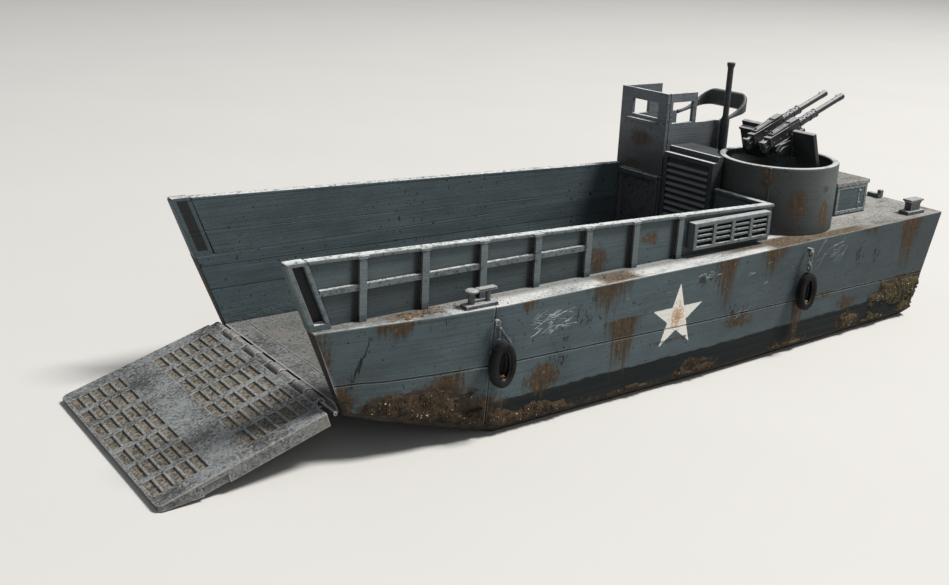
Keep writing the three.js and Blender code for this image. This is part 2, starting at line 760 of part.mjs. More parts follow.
function bowBollard(x, y) {
  const p = bowPosts;
  const foot = deckZ(x - p.baseLong / 2) + seatGap;
  const baseHalf = p.baseWide / 2;
  const base = box(x - p.baseLong / 2, x + p.baseLong / 2, y - baseHalf, y + baseHalf, foot, foot + p.baseTall);
  const mushroom = lathe(x + p.foreX, y, [
    [0, foot + 0.2],
    [0.9, foot + 0.2],
    [0.9, foot + p.capZ - 0.3],
    [1.8, foot + p.capZ],
    [1.8, foot + p.capZ + 0.4],
    [1.1, foot + p.tall],
    [0, foot + p.tall],
  ], 16);
  const post = rod([x + p.aftX, y, foot + 0.2], [x + p.aftX, y, foot + p.capZ + 0.3], 0.65, 12);
  const bar = box(x + p.aftX - 2.1, x + p.foreX - 1.6, y - 0.9, y + 0.9, foot + p.capZ, foot + p.tall - 0.1);
  return join([base, mushroom, post, bar]);
}

// A low cleat across the stern, with one upright horn
function sternCleat(x, y) {
  const foot = deckZ(x - 1.2) + seatGap;
  const base = box(x - 1.0, x + 1.0, y - 2.7, y + 2.2, foot, foot + 1.2);
  const horn = box(x - 0.8, x + 0.8, y + 1.2, y + 2.7, foot + 0.2, foot + 2.7);
  return join([base, horn]);
}

// Tyre fenders hung on the hull sides, the fore one by a sling and the aft one by a short chain

const fender = { ring: 2.5, tube: 1.35, z: 20.8, squash: 1.55 };
const slingThick = 0.4;
const link = { ring: 0.95, thick: 0.33, stretch: 1.5, step: 2.2, count: 3 };

function fenderRing(x, half) {
  const y = half + fender.tube + seatGap + 0.2;
  const ring = new THREE.TorusGeometry(fender.ring, fender.tube, 12, 28);
  return ring.rotateX(Math.PI / 2).scale(1, 1, fender.squash).translate(x, y, fender.z);
}

const fenderTop = fender.z + fender.squash * (fender.ring + fender.tube) + seatGap;

// Columns: x from the ring's middle, and z above the ring's top, of each strand's two ends.
const slingStrands = [
  [1.4, 4.9, 0.5, 3.1],
  [0.5, 3.3, 0.7, 0.3],
  [0.5, 3.3, -2.9, -1.1],
];

function fenderSling(x, half) {
  const y = half + slingThick + seatGap;
  const strands = slingStrands.map(([x0, z0, x1, z1]) => (
    rod([x + x0, y, fenderTop + z0], [x + x1, y, fenderTop + z1], slingThick, 10)
  ));
  const [eyeX, eyeZ] = slingStrands[0];
  const eye = rod([x + eyeX, y - slingThick, fenderTop + eyeZ], [x + eyeX, y + 0.5, fenderTop + eyeZ], 0.8, 12);
  return join([eye, ...strands]);
}

function fenderChain(x, half) {
  const y = half + link.ring + link.thick + seatGap;
  const links = Array.from({ length: link.count }, (_, i) => {
    const ring = new THREE.TorusGeometry(link.ring - link.thick, link.thick, 8, 14);
    const turned = i % 2 ? ring.rotateX(Math.PI / 2) : ring.rotateX(Math.PI / 2).rotateZ(Math.PI / 2);
    const z = fenderTop + link.ring * link.stretch + i * link.step;
    return turned.scale(1, 1, link.stretch).translate(x, y, z);
  });
  const topZ = fenderTop + link.ring * link.stretch + link.count * link.step - 1.2;
  const eye = rod([x, half + seatGap, topZ], [x, y + 0.5, topZ], 0.7, 12);
  return join([eye, ...links]);
}

// Assembly

const vessel = new THREE.Group();
vessel.position.x = -midX;

function place(name, geometry, material, group = vessel) {
  const mesh = new THREE.Mesh(geometry, material.clone());
  mesh.name = name;
  group.add(mesh);
  return mesh;
}

place('hull', hull(), seaGrey);
place('well_floor', wellFloor(), deckGrey);
place('bow_sill', bowSill(), deckGrey);
place('hinge_pin', hingePin(), darkGrey);
place('coaming_port', coaming(), seaGrey);
place('coaming_starboard', mirrored(coaming()), seaGrey);
place('bow_post_port', bowPost(), seaGrey);
place('bow_post_starboard', mirrored(bowPost()), seaGrey);
place('bulkhead', bulkhead(), seaGrey);
place('vent_housing', ventHousing(), seaGrey);
place('vent_louvres', ventLouvres(), darkGrey);
place('side_vent_port', sideVentBox(), seaGrey);
place('side_vent_starboard', mirrored(sideVentBox()), seaGrey);
place('console_front', consoleFront(), seaGrey);
place('console_lower', consoleLower(), seaGrey);
place('console_side_port', consoleSide(consolePort - plate, wingAftPort), seaGrey);
place('console_side_starboard', consoleSide(consoleStarboard, wingAftStarboard), seaGrey);
place('console_floor', consoleFloor(), deckGrey);
place('exhaust_pipe', exhaustPipe(), darkGrey);
place('guard_band', guardBand(), darkGrey);
place('gun_tub', gunTub(), seaGrey);
place('tub_floor', tubFloor(), deckGrey);
place('gun_pedestal', pedestal(), seaGrey);
place('gun_carriage', gunCarriage(), darkGrey);
place('hatch_box', hatchBox(), seaGrey);
place('hatch_lid', hatchLid(), deckGrey);

// The barrel line points aft and up from the trunnion.
const guns = new THREE.Group();
guns.position.set(trunnionX, tubY, trunnionZ);
guns.rotation.set(0, -gunElevation, Math.PI, 'ZYX');
vessel.add(guns);
place('gun_port', gunTube(-1), gunBlack, guns);
place('gun_starboard', gunTube(1), gunBlack, guns);
place('gun_cradle', gunCradle(), gunBlack, guns);
place('gun_shield_port', shieldPlate(-1), gunBlack, guns);
place('gun_shield_starboard', boxedShieldPlate(1), gunBlack, guns);

const ramp = new THREE.Group();
ramp.position.set(hingeX, 0, hingeZ);
ramp.rotation.y = rampDrop;
vessel.add(ramp);
place('ramp', rampSides(rampTread(rampPlate())), deckGrey, ramp);

// Columns: name, x, y, maker.
const deckFittings = [
  ['bollard_stern_port', 12.2, 34.9, sternBollard],
  ['bollard_bow_port', 196.2, 39.1, bowBollard],
  ['cleat_stern_port', 3.2, 14.0, sternCleat],
];
for (const [name, x, y, make] of deckFittings) {
  place(name, make(x, y), darkGrey);
  place(name.replace('port', 'starboard'), mirrored(make(x, y)), darkGrey);
}

// Columns: name, x, half beam there, maker of what it hangs by.
const fenders = [
  ['fore', 191.8, 42.0, fenderSling],
  ['aft', 74.2, 41.2, fenderChain],
];
for (const [name, x, half, makeLine] of fenders) {
  place(`fender_${name}_port`, fenderRing(x, half), tyreBlack);
  place(`fender_${name}_starboard`, mirrored(fenderRing(x, half)), tyreBlack);
  place(`fender_line_${name}_port`, makeLine(x, half), darkGrey);
  place(`fender_line_${name}_starboard`, mirrored(makeLine(x, half)), darkGrey);
}

export default vessel;
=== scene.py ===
import json
import math
import random
from functools import reduce

import bmesh
import bpy
from mathutils import Matrix, Vector, noise
from mathutils.bvhtree import BVHTree


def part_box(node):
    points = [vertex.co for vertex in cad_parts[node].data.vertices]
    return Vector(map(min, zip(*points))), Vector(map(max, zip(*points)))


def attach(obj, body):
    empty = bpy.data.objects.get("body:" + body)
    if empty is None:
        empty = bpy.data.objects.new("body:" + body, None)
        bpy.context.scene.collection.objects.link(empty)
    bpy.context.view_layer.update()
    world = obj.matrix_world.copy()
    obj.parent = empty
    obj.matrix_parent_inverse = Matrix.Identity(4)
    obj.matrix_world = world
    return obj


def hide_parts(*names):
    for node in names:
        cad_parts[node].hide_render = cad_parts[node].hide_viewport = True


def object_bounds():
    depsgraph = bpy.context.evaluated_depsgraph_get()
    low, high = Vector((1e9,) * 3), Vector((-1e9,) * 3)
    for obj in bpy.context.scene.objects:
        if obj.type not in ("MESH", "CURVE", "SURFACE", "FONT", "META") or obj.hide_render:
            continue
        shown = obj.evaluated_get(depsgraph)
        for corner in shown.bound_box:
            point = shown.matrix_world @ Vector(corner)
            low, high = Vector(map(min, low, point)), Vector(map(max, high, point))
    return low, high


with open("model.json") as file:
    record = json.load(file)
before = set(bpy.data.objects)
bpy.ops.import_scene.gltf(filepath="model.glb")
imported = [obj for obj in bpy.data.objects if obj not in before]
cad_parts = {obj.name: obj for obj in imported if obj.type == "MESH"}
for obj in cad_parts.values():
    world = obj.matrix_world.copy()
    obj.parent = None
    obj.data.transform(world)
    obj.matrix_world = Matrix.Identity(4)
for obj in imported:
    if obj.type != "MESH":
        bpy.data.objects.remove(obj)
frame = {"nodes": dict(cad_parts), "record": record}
nodes = frame["nodes"]
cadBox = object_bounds()
mm = 0.001
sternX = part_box("hull")[0].x
forward, abeam, upward = Vector((1.0, 0.0, 0.0)), Vector((0.0, 1.0, 0.0)), Vector((0.0, 0.0, 1.0))
sides = (("port", 1.0), ("starboard", -1.0))
print("frame loaded:", len(nodes), "nodes")


def spot(x, y, z):
    return Vector((sternX + x * mm, y * mm, z * mm))


def backTo(point):
    # a frame point in the tables' millimetres
    return Vector(((point.x - sternX) / mm, point.y / mm, point.z / mm))


class Wire:
    # one output of a node: arithmetic on it adds Math nodes
    def __init__(self, tree, socket):
        self.tree = tree
        self.socket = socket

    def node(self, kind, settings, values, output=0):
        made = self.tree.nodes.new(kind)
        for name, value in settings.items():
            setattr(made, name, value)
        for name, value in values.items():
            if isinstance(value, Wire):
                self.tree.links.new(value.socket, made.inputs[name])
            else:
                made.inputs[name].default_value = value
        return Wire(self.tree, made.outputs[output])

    def math(self, operation, first, second=0.0):
        return self.node("ShaderNodeMath", {"operation": operation}, {0: first, 1: second})

    def __add__(self, other):
        return self.math("ADD", self, other)

    def __sub__(self, other):
        return self.math("SUBTRACT", self, other)

    def __rsub__(self, other):
        return self.math("SUBTRACT", other, self)

    def __mul__(self, other):
        return self.math("MULTIPLY", self, other)

    __radd__ = __add__
    __rmul__ = __mul__

    def least(self, other):
        return self.math("MINIMUM", self, other)

    def most(self, other):
        return self.math("MAXIMUM", self, other)

    def size(self):
        return self.math("ABSOLUTE", self)

    def rise(self, low, high):
        # smoothly 0 at low and 1 at high, also where low is the larger
        values = {0: self, 1: low, 2: high}
        return self.node("ShaderNodeMapRange", {"interpolation_type": "SMOOTHSTEP"}, values)

    def vector(self, operation, other, output=0):
        return self.node("ShaderNodeVectorMath", {"operation": operation}, {0: self, 1: other}, output)

    def long(self):
        return self.vector("LENGTH", (0.0, 0.0, 0.0), 1)

    def parts(self):
        split = self.node("ShaderNodeSeparateXYZ", {}, {0: self}).socket.node
        return [Wire(self.tree, split.outputs[i]) for i in range(3)]

    def grain(self, stretch, detail, rough, offset=0.0):
        # noise on this place, which is in mm; stretch is features per mm, alike or for each axis
        place = self.vector("MULTIPLY", stretch if isinstance(stretch, tuple) else (stretch,) * 3)
        if offset:
            place = place.vector("ADD", (offset, offset * 0.7, -offset * 1.3))
        values = {"Vector": place, "Scale": 1.0, "Detail": detail, "Roughness": rough}
        return self.node("ShaderNodeTexNoise", {}, values)

    def between(self, low, high):
        # one plain colour where this mask is 0, the other where it is 1
        values = {0: self, 6: (*low, 1.0), 7: (*high, 1.0)}
        return self.node("ShaderNodeMix", {"data_type": "RGBA"}, values, 2)

    def coat(self, colour, mask):
        # a plain colour or another wire laid over this one where mask is 1
        values = {0: mask, 6: self, 7: colour if isinstance(colour, Wire) else (*colour, 1.0)}
        return self.node("ShaderNodeMix", {"data_type": "RGBA"}, values, 2)


class Finish:
    # a new material with the wires that most finishes begin from
    def __init__(self, name, roughness=0.7, specular=0.4):
        self.material = bpy.data.materials.new(name)
        self.material.use_nodes = True
        self.tree = self.material.node_tree
        self.tree.nodes.clear()
        output = self.tree.nodes.new("ShaderNodeOutputMaterial")
        self.shader = self.tree.nodes.new("ShaderNodeBsdfPrincipled")
        self.tree.links.new(self.shader.outputs[0], output.inputs[0])
        self.shader.inputs["Roughness"].default_value = roughness
        self.shader.inputs["Specular IOR Level"].default_value = specular
        coordinates = self.tree.nodes.new("ShaderNodeTexCoord")
        metres = Wire(self.tree, coordinates.outputs["Object"])
        self.place = metres.vector("SUBTRACT", (sternX, 0.0, 0.0)).vector("MULTIPLY", (1000.0,) * 3)
        self.grain = self.place.grain
        self.x, self.y, self.z = self.place.parts()
        self.wide = self.y.size()
        self.ahead, self.aside, self.upright = Wire(self.tree, coordinates.outputs["Normal"]).parts()

    def hollows(self, reach, samples=6, inside=False):
        # 1 in corners and creases of the piece itself
        settings = {"samples": samples, "inside": inside, "only_local": True}
        return 1.0 - self.place.node("ShaderNodeAmbientOcclusion", settings, {"Distance": reach * mm}, 1)

    def edges(self, reach, samples=6):
        # 1 along convex edges, from rays sent inwards
        return self.hollows(reach, samples, True)

    def finish(self, colour, roughness=None, height=None, depth=0.12):
        link = self.tree.links.new
        link(colour.socket, self.shader.inputs["Base Color"])
        if roughness:
            link(roughness.socket, self.shader.inputs["Roughness"])
        if height:
            values = {"Strength": 1.0, "Distance": depth * mm, "Height": height}
            link(self.place.node("ShaderNodeBump", {}, values).socket, self.shader.inputs["Normal"])
        return self.material


def patchCover(place, rows, wobble):
    # rows of (x, z, half length, half height, strength) on a side face: highest cover of any row
    drift = place.node("ShaderNodeTexNoise", {}, {"Vector": place, "Scale": 0.22, "Detail": 3.0}, 1)
    moved = drift.vector("SUBTRACT", (0.5, 0.5, 0.5)).vector("MULTIPLY", (wobble, 0.0, wobble))
    moved = moved.vector("ADD", place).vector("MULTIPLY", (1.0, 0.0, 1.0))
    covers = []
    for x, z, halfLong, halfTall, strength in rows:
        offset = moved.vector("SUBTRACT", (x, 0.0, z))
        covers.append(
            (1.0 - offset.vector("MULTIPLY", (1.0 / halfLong, 0.0, 1.0 / halfTall)).long()) * strength)
    return reduce(Wire.most, covers).most(-1.0)


paintLook = {
    "deep": (0.043, 0.060, 0.067), "light": (0.084, 0.114, 0.124),
    # the proud tone is a painted highlight, and the dust tone is also a painted highlight on tops
    "pale": (0.40, 0.43, 0.44), "proud": (0.150, 0.175, 0.180), "dust": (0.72, 0.74, 0.73),
    # the first dark tone below is laid both as dirt and as painted shade
    "dirt": (0.012, 0.013, 0.012), "pit": (0.012, 0.013, 0.013), "gap": (0.003, 0.004, 0.004),
    "speck": (0.010, 0.012, 0.012), "fleck": (0.26, 0.28, 0.28), "washed": (0.034, 0.025, 0.014),
    "rustDark": (0.024, 0.017, 0.010), "rust": (0.085, 0.048, 0.021), "rustPale": (0.240, 0.135, 0.055),
    "grime": 0.85, "deepest": (0.08, 0.66),   # wash and painted shade in the creases: amount, and where it starts and is full
    "shade": None,      # darker low on a piece: full below, none above, amount
    "lee": 0.0,         # painted shade on the faces towards the bow
    "ridges": (),       # x from and to of tops rubbed pale
    "gaps": False, "ribbed": False,
    "rows": (), "foreRows": (),     # rust on the sides, and on the face towards the bow
}


def brushedPaint(f, deep, light, seed=0.0):
    # brush lines along the craft, cloudy patches and fine specks; returns colour, lines, speckle
    lines = f.grain((0.03, 0.05, 1.9), 4.0, 0.6, 3.0 + seed)
    clouds = f.grain((0.05, 0.07, 0.09), 4.0, 0.65, 11.0 + seed)
    speckle = f.grain(2.3, 2.0, 0.6, 23.0 + seed)
    wash = f.grain((0.02, 0.03, 2.6), 3.0, 0.6, 31.0 + seed)
    colour = (lines * 0.45 + clouds * 0.75 + speckle * 0.30).rise(0.45, 1.06).between(deep, light)
    colour = colour.coat(tuple(0.4 * c for c in deep), wash.rise(0.37, 0.29) * 0.6)
    # dark specks gather in clusters, pale ones are few
    dots = f.grain((0.95, 0.95, 0.75), 2.0, 0.5, 59.0 + seed)
    colour = colour.coat(paintLook["speck"], (dots + clouds * 0.30).rise(0.835, 0.865) * 0.85)
    colour = colour.coat(paintLook["fleck"], (dots - clouds * 0.25).rise(0.085, 0.06) * 0.5)
    return colour, lines, speckle


def rustColour(f, amount):
    fleck = f.grain(0.8, 4.0, 0.75, 41.0)
    run = f.grain((1.6, 1.2, 0.14), 3.0, 0.65, 43.0)
    warm = (fleck * 0.7 + run * 0.6).rise(0.46, 0.84).between(paintLook["rustDark"], paintLook["rust"])
    bright = (fleck * 0.8 + run * 0.4).rise(0.68, 0.80) * amount.rise(0.35, 0.9)
    return warm.coat(paintLook["rustPale"], bright * 0.85)


def runCover(f, rows, seed):
    # rows of (x, half width, top z, length, strength): runs of uneven length that hang from a line
    comb = f.grain((0.62, 0.0, 0.03), 4.0, 0.72, seed)
    covers = []
    for x, half, top, length, strength in rows:
        off = (f.x - x) * (1.0 / half)
        here = strength - off * off + comb * 2.4 - 1.55 - (top - f.z).most(0.0) * (1.0 / length)
        covers.append(here - (f.z - top).rise(0.2, 1.2) * 4.0)
    return reduce(Wire.most, covers).most(-2.0)


def stainOver(f, colour, amount, mask):
    # a thin wash round a harder core; returns colour, core
    core = amount.rise(0.0, 0.34) * mask
    colour = colour.coat(paintLook["washed"], amount.rise(-0.30, 0.16) * mask * 0.45)
    return colour.coat(rustColour(f, core), core * 0.84), core


coamingLook = {
    "inner": 31.6, "outer": 33.2, "capOuter": 34.2, "capTall": 0.9, "aft": 83.4, "fore": 5.65,
    "ribX": 226.3, "ribPitch": 17.2, "ribs": 7, "ribWide": 2.0, "ribOuter": 34.6,
    "tabHalf": 1.5, "tabOuter": 34.8, "railZ": (43.1, 44.6), "railOuter": 34.2,
    "capStart": (83.0, 47.4), "capRun": (163.2, 4.7),   # x and z where the top begins, its length and climb
    "footZ": 36.45, "footFall": 1.2,                    # the walls' foot, a little below the deck
    "plank": (160.0, 9.6), "groove": (0.24, 0.08),      # x and drop from the cap's top; width and depth
    "railRibs": 4,                                      # the rail reaches aft to this rib from the bow
}
stemLook = {"deckEdge": 246.2, "rake": 0.38, "topZ": 52.1, "footZ": 35.3}


def stemX(z):
    # z is a height or a wire
    return stemLook["deckEdge"] - stemLook["rake"] * (stemLook["topZ"] - z)


def ribShade(f):
    # painted shadow on the bow side of each rib and under the rail, and painted shade on faces towards the
    # bow
    c = coamingLook
    first = c["ribX"] + c["ribWide"] / 2 - c["ribPitch"] * (c["ribs"] - 1)
    past = f.x.math("MODULO", f.x - first, c["ribPitch"])
    panel = f.wide.rise(33.5, 33.3) * f.wide.rise(32.9, 33.1) * f.x.rise(first - 0.1, first)
    low = f.z.rise(c["railZ"][0] + 0.4, c["railZ"][0] - 0.2) * f.x.rise(157.0, 158.0)
    # painted shade inside the channel of each bow post
    back = stemX(f.z) - f.x
    channel = back.rise(1.1, 1.4) * back.rise(4.4, 4.1) * f.wide.rise(34.6, 33.8)
    channel = channel * f.z.rise(36.6, 36.9) * f.z.rise(51.4, 51.1)
    ribFace = f.ahead.rise(0.3, 0.8) * f.wide.rise(33.1, 33.3) * f.x.rise(234.0, 233.0) * f.x.rise(84.0, 84.5)
    return ((past.rise(2.3, 0.9) * 0.85).most(low * 0.38) * panel).most(channel * 0.9).most(ribFace * 0.85)


def seaPaint(name, **changes):
    # the brushed sea-grey paint of the upper works
    look = {**paintLook, **changes}
    f = Finish(name)
    colour, lines, speckle = brushedPaint(f, look["deep"], look["light"])
    clouds = f.grain(0.3, 3.0, 0.6, 47.0)
    # painted shade: darker low on the piece
    if look["shade"]:
        low, high, amount = look["shade"]
        colour = colour.coat(look["dirt"], f.z.rise(high, low) * amount)
    # dark wash and painted shade in the creases
    colour = colour.coat(look["dirt"], f.hollows(2.6).rise(*look["deepest"]) * look["grime"])
    # painted shadow of the ribs and the rail, painted shade in the bow posts' channels
    if look["ribbed"]:
        colour = colour.coat(look["dirt"], ribShade(f))
    # painted shade on the faces towards the bow
    if look["lee"]:
        colour = colour.coat(look["dirt"], f.ahead.rise(-0.2, 0.75) * look["lee"])
    # settled dust and dry-brushed paint on upward faces, with a painted highlight on these tops
    settled = f.grain((0.11, 0.16, 0.11), 4.0, 0.62, 57.0) * 0.9 + f.grain(1.1, 3.0, 0.65, 63.0) * 0.6
    colour = colour.coat(look["dust"], f.upright.rise(0.72, 0.92) * settled.rise(0.38, 0.80) * 0.9)
    for near, far in look["ridges"]:
        rubbed = f.x.rise(near - 0.1, near + 0.1) * f.x.rise(far + 0.1, far - 0.1) * f.upright.rise(0.6, 0.9)
        colour = colour.coat(look["pale"], rubbed * (clouds * 0.5 + 0.65).least(1.0))
    # painted highlight on the parts that stand proud of the walls
    proud = f.wide.rise(33.6, 34.0) * f.z.rise(36.8, 37.4) * f.x.rise(83.2, 84.0)
    colour = colour.coat(look["proud"], proud * (0.25 + clouds * 0.4))
    # the walls' well side keeps no pale edges
    seen = (f.y * f.aside).rise(-31.4, -28.0)
    broken = f.grain(0.8, 4.0, 0.75, 71.0)
    worn = ((f.edges(0.32) * seen).rise(0.10, 0.50) * (broken * 2.2 - 0.45)).rise(0.20, 0.75)
    colour = colour.coat(look["pale"], worn * 0.6)
    colour = colour.coat(look["pit"], (f.edges(1.3, 4) * seen).rise(0.2, 0.5) * broken.rise(0.52, 0.58) * 0.7)
    # painted shade: the side vent's openings are laid near black
    if look["gaps"]:
        within = f.x.rise(87.9, 88.1) * f.x.rise(118.5, 118.3) * f.z.rise(38.9, 39.1) * f.z.rise(45.5, 45.3)
        colour = colour.coat(look["gap"], f.wide.rise(36.02, 35.7) * within * 0.96)
    if look["rows"]:
        streak = f.grain((1.0, 1.0, 0.14), 3.0, 0.6, 83.0)
        clot = f.grain(0.7, 4.0, 0.7, 87.0)
        amount = patchCover(f.place, look["rows"], 3.0) + streak * 1.1 + clot * 1.1 - 1.25
        colour, _ = stainOver(f, colour, amount, (f.y * f.aside).rise(2.0, 8.0))
    if look["foreRows"]:
        turned = f.place.node("ShaderNodeCombineXYZ", {}, {0: f.y, 1: f.x, 2: f.z})
        blot = f.grain((0.9, 0.9, 0.5), 4.0, 0.72, 93.0)
        amount = patchCover(turned, look["foreRows"], 2.0) + blot * 1.6 - 0.95
        colour, _ = stainOver(f, colour, amount, f.ahead.rise(0.5, 0.8))
    rough = (lines * 0.25 + speckle * 0.2 + 0.42).most(0.45)
    return f.finish(colour, rough, lines * 0.7 + speckle * 0.35, 0.16)


hullLook = {
    # x, half width, top z, length, strength: runs that hang from the deck edge or a seam
    "runs": [
        (155.0, 9.5, 36.6, 11.0, 1.05), (109.5, 6.2, 37.0, 20.0, 1.05), (88.0, 8.5, 37.0, 11.5, 1.0),
        (40.0, 7.0, 37.0, 6.0, 0.9), (17.5, 8.0, 37.0, 24.0, 1.0), (149.5, 7.2, 24.5, 17.0, 1.1),
        (220.0, 9.0, 36.2, 6.5, 1.0), (183.0, 4.2, 36.3, 5.2, 1.0), (73.6, 4.0, 17.0, 16.0, 1.1),
        (128.0, 16.0, 15.0, 3.0, 0.62), (62.0, 10.0, 17.4, 4.0, 0.7),
    ],
    # x, z, half length, half height, strength: blooms
    "streaks": [
        (238.5, 27.0, 3.2, 9.5, 0.9), (233.5, 17.0, 4.6, 6.0, 1.0), (206.0, 17.0, 6.8, 4.0, 1.05),
        (176.0, 13.0, 7.5, 5.0, 1.0), (101.5, 15.8, 6.4, 2.8, 0.95), (48.0, 12.0, 5.4, 2.6, 0.9),
        (46.0, 5.0, 5.0, 2.6, 0.8), (196.0, 9.0, 9.0, 4.0, 0.7),
    ],
    # muddy growth low on the sides
    "mud": [
        (214.0, 12.5, 17.0, 5.2, 1.3), (236.0, 13.0, 8.0, 6.0, 1.1), (186.0, 2.0, 26.0, 3.6, 1.1),
        (150.0, 1.2, 24.0, 2.4, 0.9), (16.0, 11.5, 17.0, 5.0, 1.3), (118.0, 3.5, 9.0, 3.5, 1.0),
        (45.0, 4.5, 6.0, 3.5, 0.9), (8.0, 5.0, 9.0, 5.0, 1.0), (76.0, 2.0, 10.0, 2.5, 0.8),
    ],
    # where pale scratches cross the paint, and their lean
    "scratches": [(174.5, 28.0, 8.0, 4.4, 0.6)], "scratchLean": -0.34,
    # dark chips
    "chips": [
        (163.0, 29.0, 4.4, 5.0, 1.0), (171.0, 19.5, 5.0, 6.0, 1.0), (45.5, 27.6, 2.6, 4.0, 0.9),
        (105.0, 19.0, 8.0, 4.0, 0.8), (36.0, 27.0, 2.4, 6.0, 0.8), (190.0, 24.0, 5.0, 7.0, 0.7),
        (118.0, 31.0, 6.0, 3.0, 0.7), (208.0, 33.0, 5.0, 2.0, 0.6),
    ],
    # x0, z0, x1, z1, half width: long black scratches
    "gouges": [
        (225.8, 32.6, 230.6, 19.2, 0.34), (227.6, 28.0, 229.8, 22.6, 0.28), (44.8, 30.6, 46.2, 25.4, 0.30),
    ],
    "seam": (15.6, 0.0226),             # height of the long plate seam at the stern, and its rise per mm
    "frame": (194.0, 0.03),             # where a plate seam runs up the side, and its lean
    "innerPlanks": (29.4, 22.6), "plankFall": -0.012,
    # width of each groove, and its push from the centre line
    "seamGroove": (0.55, -0.32), "frameGroove": (0.6, -0.35), "plankGroove": (0.28, 0.12),
    "bootTop": 9.8, "boot": ((0.005, 0.008, 0.009), (0.012, 0.016, 0.016)),
    "sternShade": (0.022, 0.028, 0.030), "crease": (0.012, 0.014, 0.014),
    "chip": (0.009, 0.011, 0.011), "gouge": (0.008, 0.009, 0.009), "bare": (0.34, 0.37, 0.38),
    "mudTones": ((0.018, 0.013, 0.008), (0.070, 0.044, 0.020)),
    "underTones": ((0.012, 0.010, 0.007), (0.038, 0.027, 0.015)),
    "star": {"x": 128.7, "z": 21.6, "radius": 10.1}, "starWhite": (0.74, 0.73, 0.68),
    "starRust": ((0.24, 0.10, 0.03), (0.52, 0.30, 0.12)),
    "deck": ((0.150, 0.166, 0.166), (0.62, 0.63, 0.62)),
    "deckAft": ((0.12, 0.113, 0.098), (0.31, 0.30, 0.275)),
    "deckEarth": ((0.06, 0.042, 0.024), (0.165, 0.120, 0.072)),
    "deckFoot": ((0.050, 0.052, 0.048), (0.16, 0.155, 0.14)),
    "deckPit": (0.022, 0.022, 0.020), "deckCrease": (0.030, 0.029, 0.026), "deckEdge": (0.46, 0.47, 0.46),
    # x, y, half length, half width, strength: earthy places on the deck
    "earth": [
        (79.0, 38.5, 12.0, 6.5, 2.2), (150.0, 38.0, 9.0, 5.0, 1.3), (213.0, 35.5, 9.0, 3.0, 1.0),
        (58.0, 39.0, 20.0, 4.0, 1.4), (96.0, 36.0, 14.0, 3.4, 1.0),
    ],
}


def starMask(f, star):
    # a five-pointed star: inside at least four of the five lines that join its tips
    rough = f.grain(1.6, 3.0, 0.6, 97.0) * 0.9 - 0.45
    reach = star["radius"] * math.cos(math.radians(72))
    within = []
    for k in range(5):
        turn = math.radians(90 + 72 * k)
        along = (f.x - star["x"]) * math.cos(turn) + (f.z - star["z"]) * math.sin(turn)
        within.append((reach - along + rough * 0.35).rise(-0.12, 0.12))
    return reduce(Wire.__add__, within).rise(3.45, 3.75)


def deckCover(f, look):
    # dry-brushed and gritty, with earth in places; returns colour, specks
    cloud = f.grain((0.05, 0.11, 0.1), 5.0, 0.66, 51.0)
    speck = f.grain((1.0, 1.6, 1.0), 4.0, 0.75, 53.0)
    brushed = cloud * 0.75 + speck * 0.75 + f.x.rise(215.0, 185.0) * 0.10
    deck = brushed.rise(0.58, 0.96).between(*look["deck"])
    soil = (f.grain((0.06, 0.12, 0.1), 4.0, 0.7, 77.0) + speck * 0.25).rise(0.66, 0.78) * 0.6
    for x, y, halfLong, halfWide, strength in look["earth"]:
        far = ((f.x - x) * (1.0 / halfLong)).size().most(((f.wide - y) * (1.0 / halfWide)).size())
        soil = soil.most(((1.0 - far) * strength + speck * 1.3 - 0.7).rise(0.0, 0.6))
    aft = (cloud * 0.5 + speck * 0.6).rise(0.4, 0.7).between(*look["deckAft"])
    deck = deck.coat(aft, f.x.rise(86.0, 52.0) * 0.8)
    deck = deck.coat(speck.rise(0.4, 0.62).between(*look["deckEarth"]), soil * 0.95)
    deck = deck.coat(look["deckPit"], f.grain(1.4, 2.0, 0.6, 91.0).rise(0.66, 0.70) * 0.7)
    foot = f.wide.rise(38.6, 35.0) * f.x.rise(84.0, 90.0) * (cloud * 0.6 + speck * 1.1).rise(0.55, 0.9)
    deck = deck.coat(speck.rise(0.4, 0.6).between(*look["deckFoot"]), foot * 0.75)
    # painted shade in the deck's creases
    return deck.coat(look["deckCrease"], f.hollows(2.4).rise(0.25, 0.8) * 0.8), speck


